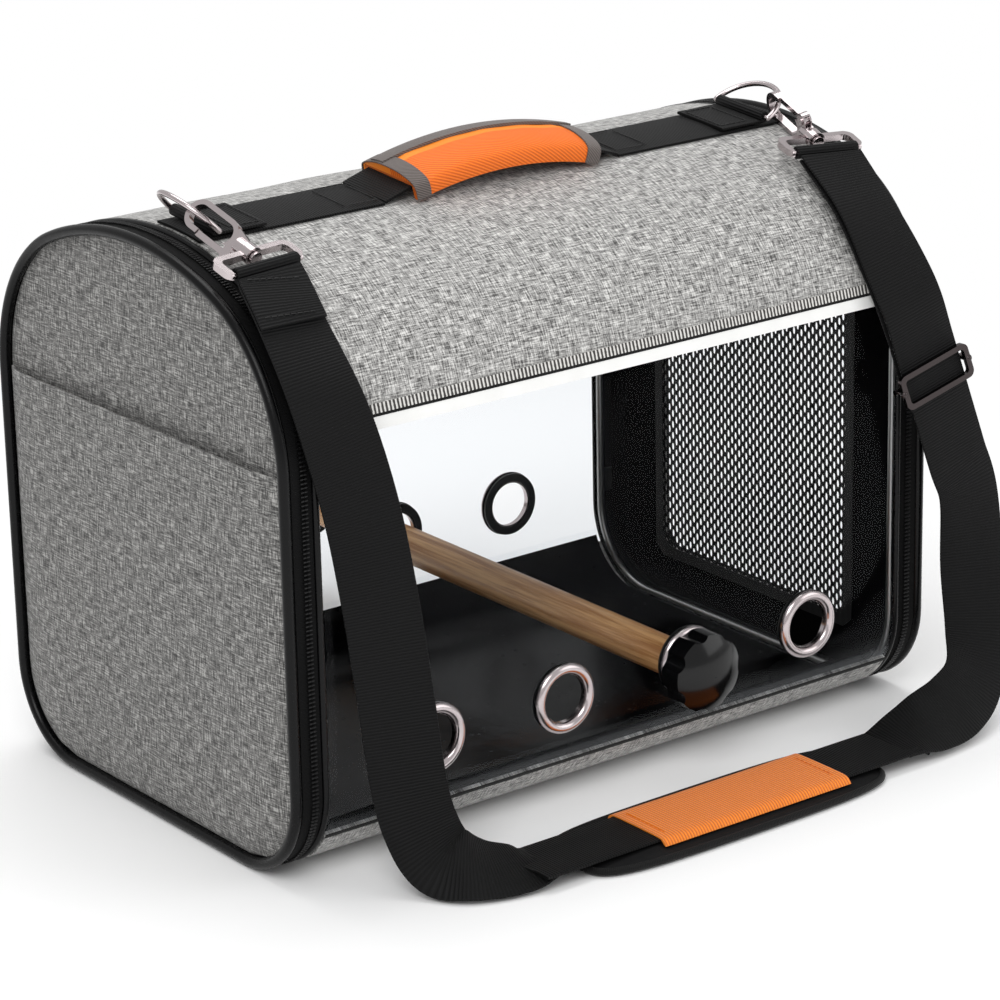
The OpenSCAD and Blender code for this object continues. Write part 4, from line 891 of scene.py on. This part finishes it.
def net_shape():
    """Knitted net: oval holes in staggered columns. Each cell is a ring of eight faces between an oblong and an oval,
    on both sides, with a wall round the oval, and cells share the points where they meet."""
    cw, ch, t = 3.1, 6.7, 0.5
    a = np.arange(8) * math.pi / 4
    hole = np.stack([1.12 * np.cos(a), 2.35 * np.sin(a)], 1)
    cell = np.array([[1, 0], [1, 1], [0, 1], [-1, 1], [-1, 0], [-1, -1], [0, -1], [1, -1]]) * [cw / 2, ch / 2]
    col, row = (g.ravel() for g in np.meshgrid(np.arange(-27, 28), np.arange(38), indexing="ij"))
    y, z = col * cw, 32.0 + (row + (col % 2) / 2) * ch
    inside = (np.abs(y) < 81) & (z < 275) & ((z < 179) | (np.hypot(y, z - 179) < 95.5))
    yz = np.stack([y, z], 1)[inside][:, None] + np.vstack([cell, hole] * 2)[None]
    x = np.broadcast_to(201.3 - t * (np.arange(32) >= 16), yz.shape[:2])
    v = np.concatenate([x[..., None], yz], -1).reshape(-1, 3)
    i, j = np.arange(8), (np.arange(8) + 1) % 8
    faces = np.stack([np.stack(q, 1) for q in ((i, j, 8 + j, 8 + i), (16 + j, 16 + i, 24 + i, 24 + j),
                                               (8 + i, 8 + j, 24 + j, 24 + i))], 1).reshape(-1, 4)
    f = (32 * np.arange(len(yz))[:, None, None] + faces[None]).reshape(-1, 4)
    key, inv = np.unique(np.round(v, 3), axis=0, return_inverse=True)
    return key, inv.reshape(-1)[f], key[:, 1:]


piece("far_net", net_shape(), NET, "far_door", ["far_mesh"])

# Ridge webbing, ring tabs and the padded handle


def ridge_strip(x0, x1):
    """Webbing laid on the crown: a strip of its arc, WEB_W wide, between two radii and two places along X."""
    a = np.linspace(-WEB_W / 2, WEB_W / 2, 16) / CROWN_R
    x = np.linspace(x0, x1, 40)
    def at(r):
        th = RIDGE_A + math.pi / 2 + a
        yz = np.stack([r * np.cos(th), CROWN_Z + r * np.sin(th)], -1)
        return np.stack(np.broadcast_arrays(x[:, None], yz[None, :, 0], yz[None, :, 1]), -1)
    uv = np.stack(np.broadcast_arrays(x[:, None], (a * CROWN_R)[None, :]), -1)
    return solid(at(CROWN_R + 1.6), at(CROWN_R + 0.4), uv)


piece("ridge_webbing_strip", joined(ridge_strip(-TRIM_X, -76), ridge_strip(76, TRIM_X)), RIDGE_WEB, "carrier",
      ["ridge_webbing"])
tabs = []
for sx in (-1, 1):
    rows = turned([1, 0, 0], [0, math.cos(RIDGE_A), math.sin(RIDGE_A)])
    tabs.append(fold(ridge(sx * 178.0, 0, 4.81), rows, 3.16))
    pts = ridge(np.linspace(sx * 178.0, sx * 148.0, 8), 0, 2.45)
    tabs.append(band(pts, [rows[1]] * 8, steps=2)[0])
piece("ring_tab_webbing", joined(*tabs), WEBBING, "carrier", ["ring_tabs"])

# The pad's sections, outside and inside, as places across and heights; PAD_A is half its angle along the arch
PAD_A = math.asin(59.0 / ARCH_R)
OUTER = smooth([(23.0, -5.4), (23.3, -2.5), (23.1, 0.8), (22.0, 3.0), (18.5, 4.9), (12.0, 6.7), (6.0, 7.5),
                (0, 7.7)], 3)
OUTER = np.vstack([OUTER, OUTER[-2::-1] * [-1, 1]])
INNER = smooth([(-19.6, -5.4), (-19.5, -2.0), (-19.2, 1.1), (-17.5, 1.75), (0, 1.75), (17.5, 1.75), (19.2, 1.1),
                (19.5, -2.0), (19.6, -5.4)], 3)


def along_handle(section, a0, a1, n, puff=None):
    """The section carried along the handle's arch, clear of the roof; v runs round the section."""
    phi = np.linspace(a0, a1, n)
    sec = np.asarray(section)
    h = np.broadcast_to(sec[None, :, 1], (n, len(sec))).copy()
    if puff is not None:
        h += puff(phi[:, None] * ARCH_R, sec[None, :, 0]) * (sec[None, :, 1] > 2.2)
    p = off_roof(arched(phi[:, None], sec[None, :, 0] + 0 * h, h))
    d = np.concatenate([[0], np.cumsum(np.linalg.norm(np.diff(sec, axis=0), axis=1))])
    uv = np.stack(np.broadcast_arrays((phi * ARCH_R)[:, None], d[None, :]), -1)
    return swept(p, uv=uv)


def stuffing(u, w):
    """The pad's fullness: gentle waves, less a bell-shaped dip 50.5 mm from the middle, where the ends are sewn."""
    return 0.35 * waves(u, w, 26.0, 51) - 0.5 * np.exp(-((np.abs(u) - 50.5) / 2.5) ** 2)


handle = piece("padded_handle", along_handle(np.vstack([OUTER, INNER]), -PAD_A, PAD_A, 80, stuffing), ORANGE,
               "carrier", ["handle_pad"])


def grown(section, g):
    """The section with each point moved outward by g, along the normal of the line through its neighbours."""
    s = np.asarray(section)
    t = unit(np.gradient(s, axis=0))
    return s + g * np.stack([t[:, 1], -t[:, 0]], 1)


# The binding: a rim round each end, the back foot, and a strip behind the crest, each between two grown sections
RIM_A, OVERHANG_A = 8.0 / ARCH_R, 0.8 / ARCH_R
rim_section = np.vstack([grown(OUTER, 0.75), grown(OUTER, 0.1)[::-1]])
foot_section = [(23.9, 0.2), (24.1, -2.5), (23.8, -5.6), (19.2, -5.7), (19.0, -2.5), (19.15, -2.4), (19.5, -5.3),
                (22.9, -5.3), (23.4, -2.5), (23.3, 0.2)]
crest = OUTER[(OUTER[:, 0] > 2) & (OUTER[:, 0] < 15)]
crest_section = np.vstack([grown(crest, 1.7), grown(crest, 0.05)[::-1]])
binding = [along_handle(rim_section, -PAD_A - OVERHANG_A, RIM_A - PAD_A, 8),
           along_handle(rim_section, PAD_A - RIM_A, PAD_A + OVERHANG_A, 8),
           along_handle(foot_section, -PAD_A, PAD_A, 60), along_handle(crest_section, -PAD_A, PAD_A, 60)]
piece("handle_twill_binding", joined(*binding), TWILL, "carrier", ["handle_binding"])
ARCH_A = math.asin(HANDLE_X / ARCH_R)
web_section = [(-18.9, 0.1), (-18, 0), (0, 0), (18, 0), (18.9, 0.1), (18.9, 1.5), (18, 1.6), (0, 1.6), (-18, 1.6),
               (-18.9, 1.5)]
piece("handle_webbing_strip", along_handle(web_section, -ARCH_A, ARCH_A, 60), WEBBING, "carrier",
      ["handle_webbing"])

# Sewn squares where the webbing is fixed to the roof
SEAM = {"length": 2.6, "pitch": 3.6, "r": 0.3}
across = np.linspace(-15, 15, 12)
sew = []
for sx in (-1, 1):
    for x0, x1, side_z, end_z in ((78, 98, 1.75, 1.7), (150, 168, 3.4, 3.4)):
        sew += [stitches(ridge(np.linspace(sx * x0, sx * x1, 10), y, side_z), **SEAM) for y in (-15.0, 15.0)]
        sew += [stitches(ridge(sx * x, across, end_z), **SEAM) for x in (x0, x1)]
# Two seams across the strap's sewn tail, at the third and eighth points of its line
tail_run = unit(np.gradient(tail_line, axis=0))
tail_up = unit(np.cross(tail_run, tail_widths))
tail_side = np.cross(tail_up, tail_run)
for i in (2, 7):
    middle = tail_line[i] + tail_up[i] * (PLY_LIFT + 0.83)
    sew.append(stitches(middle + tail_side[i] * across[:, None], **SEAM, up=tail_up[i]))
piece("webbing_seams", joined(*sew), THREAD, "carrier")

# Finishes of the hard parts
for nodes, material in (
        (["front_eyelets", "back_eyelets", "near_ring", "far_ring", "near_swivel_loop", "far_swivel_loop",
          "near_hook", "far_hook", "near_gate", "far_gate", "near_rivet", "far_rivet"], NICKEL),
        (["strap_slider"], DARK_NICKEL), (["perch_studs", "end_hoops"], STEEL), (["perch"], WOOD),
        (["front_knob", "back_knob"], KNOB), (["eyelet_washers"], WASHER), (["base_board"], BOARD),
        (["near_zip_slider", "far_zip_slider", "near_zip_pull", "far_zip_pull"], BLACK_METAL)):
    for name in nodes:
        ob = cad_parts[name]
        ob.data.materials.clear()
        ob.data.materials.append(material)


def studio_floor():
    """Pale floor that keeps the shadow near the object: from 0.32 to 0.75 m off the middle it turns, for the camera
    only, into plain white."""
    m, t = fresh("white_studio_floor")
    distance = node(t, "VectorMath", {0: node(t, "TexCoord", out=3)}, 1, operation="LENGTH")
    far = node(t, "MapRange", {"Value": distance, "From Min": 0.32, "From Max": 0.75},
               interpolation_type="SMOOTHSTEP")
    seen = node(t, "Math", {0: far, 1: node(t, "LightPath")}, operation="MULTIPLY")
    paper = node(t, "BsdfDiffuse", {"Color": rgb("#fdfdfd")})
    white = node(t, "Emission", {"Color": (1, 1, 1, 1), "Strength": 1.0})
    node(t, "OutputMaterial", {0: node(t, "MixShader", {0: seen, 1: paper, 2: white})})
    return m


# Stage: a pale floor and soft studio light
bpy.ops.mesh.primitive_plane_add(size=12, location=(0, 0, -0.0005))
ground = bpy.context.object
ground.name = "studio_floor"
ground.data.materials.append(studio_floor())
world = bpy.data.worlds.new("studio")
world.use_nodes = True
bpy.context.scene.world = world
world.node_tree.nodes["Background"].inputs[0].default_value = (1, 1, 1, 1)
world.node_tree.nodes["Background"].inputs[1].default_value = 0.62
LAMPS = (("key", (-1.6, -1.6, 2.2), 1.6, 34), ("fill", (1.8, -1.9, 1.3), 1.8, 14), ("top", (0.2, 0.6, 2.4), 1.6, 22))
for name, place, size, power in LAMPS:
    light = bpy.data.lights.new(name, "AREA")
    light.size, light.energy = size, power
    lamp = bpy.data.objects.new(name, light)
    z = unit(np.array(place) - [0, 0, 0.12])
    x = unit(np.cross([0, 0, 1], z))
    m = np.eye(4)
    m[:3, 0], m[:3, 1], m[:3, 2], m[:3, 3] = x, np.cross(z, x), z, place
    lamp.matrix_world = Matrix(m.tolist())
    bpy.context.scene.collection.objects.link(lamp)
bpy.context.scene.view_settings.view_transform = "Standard"
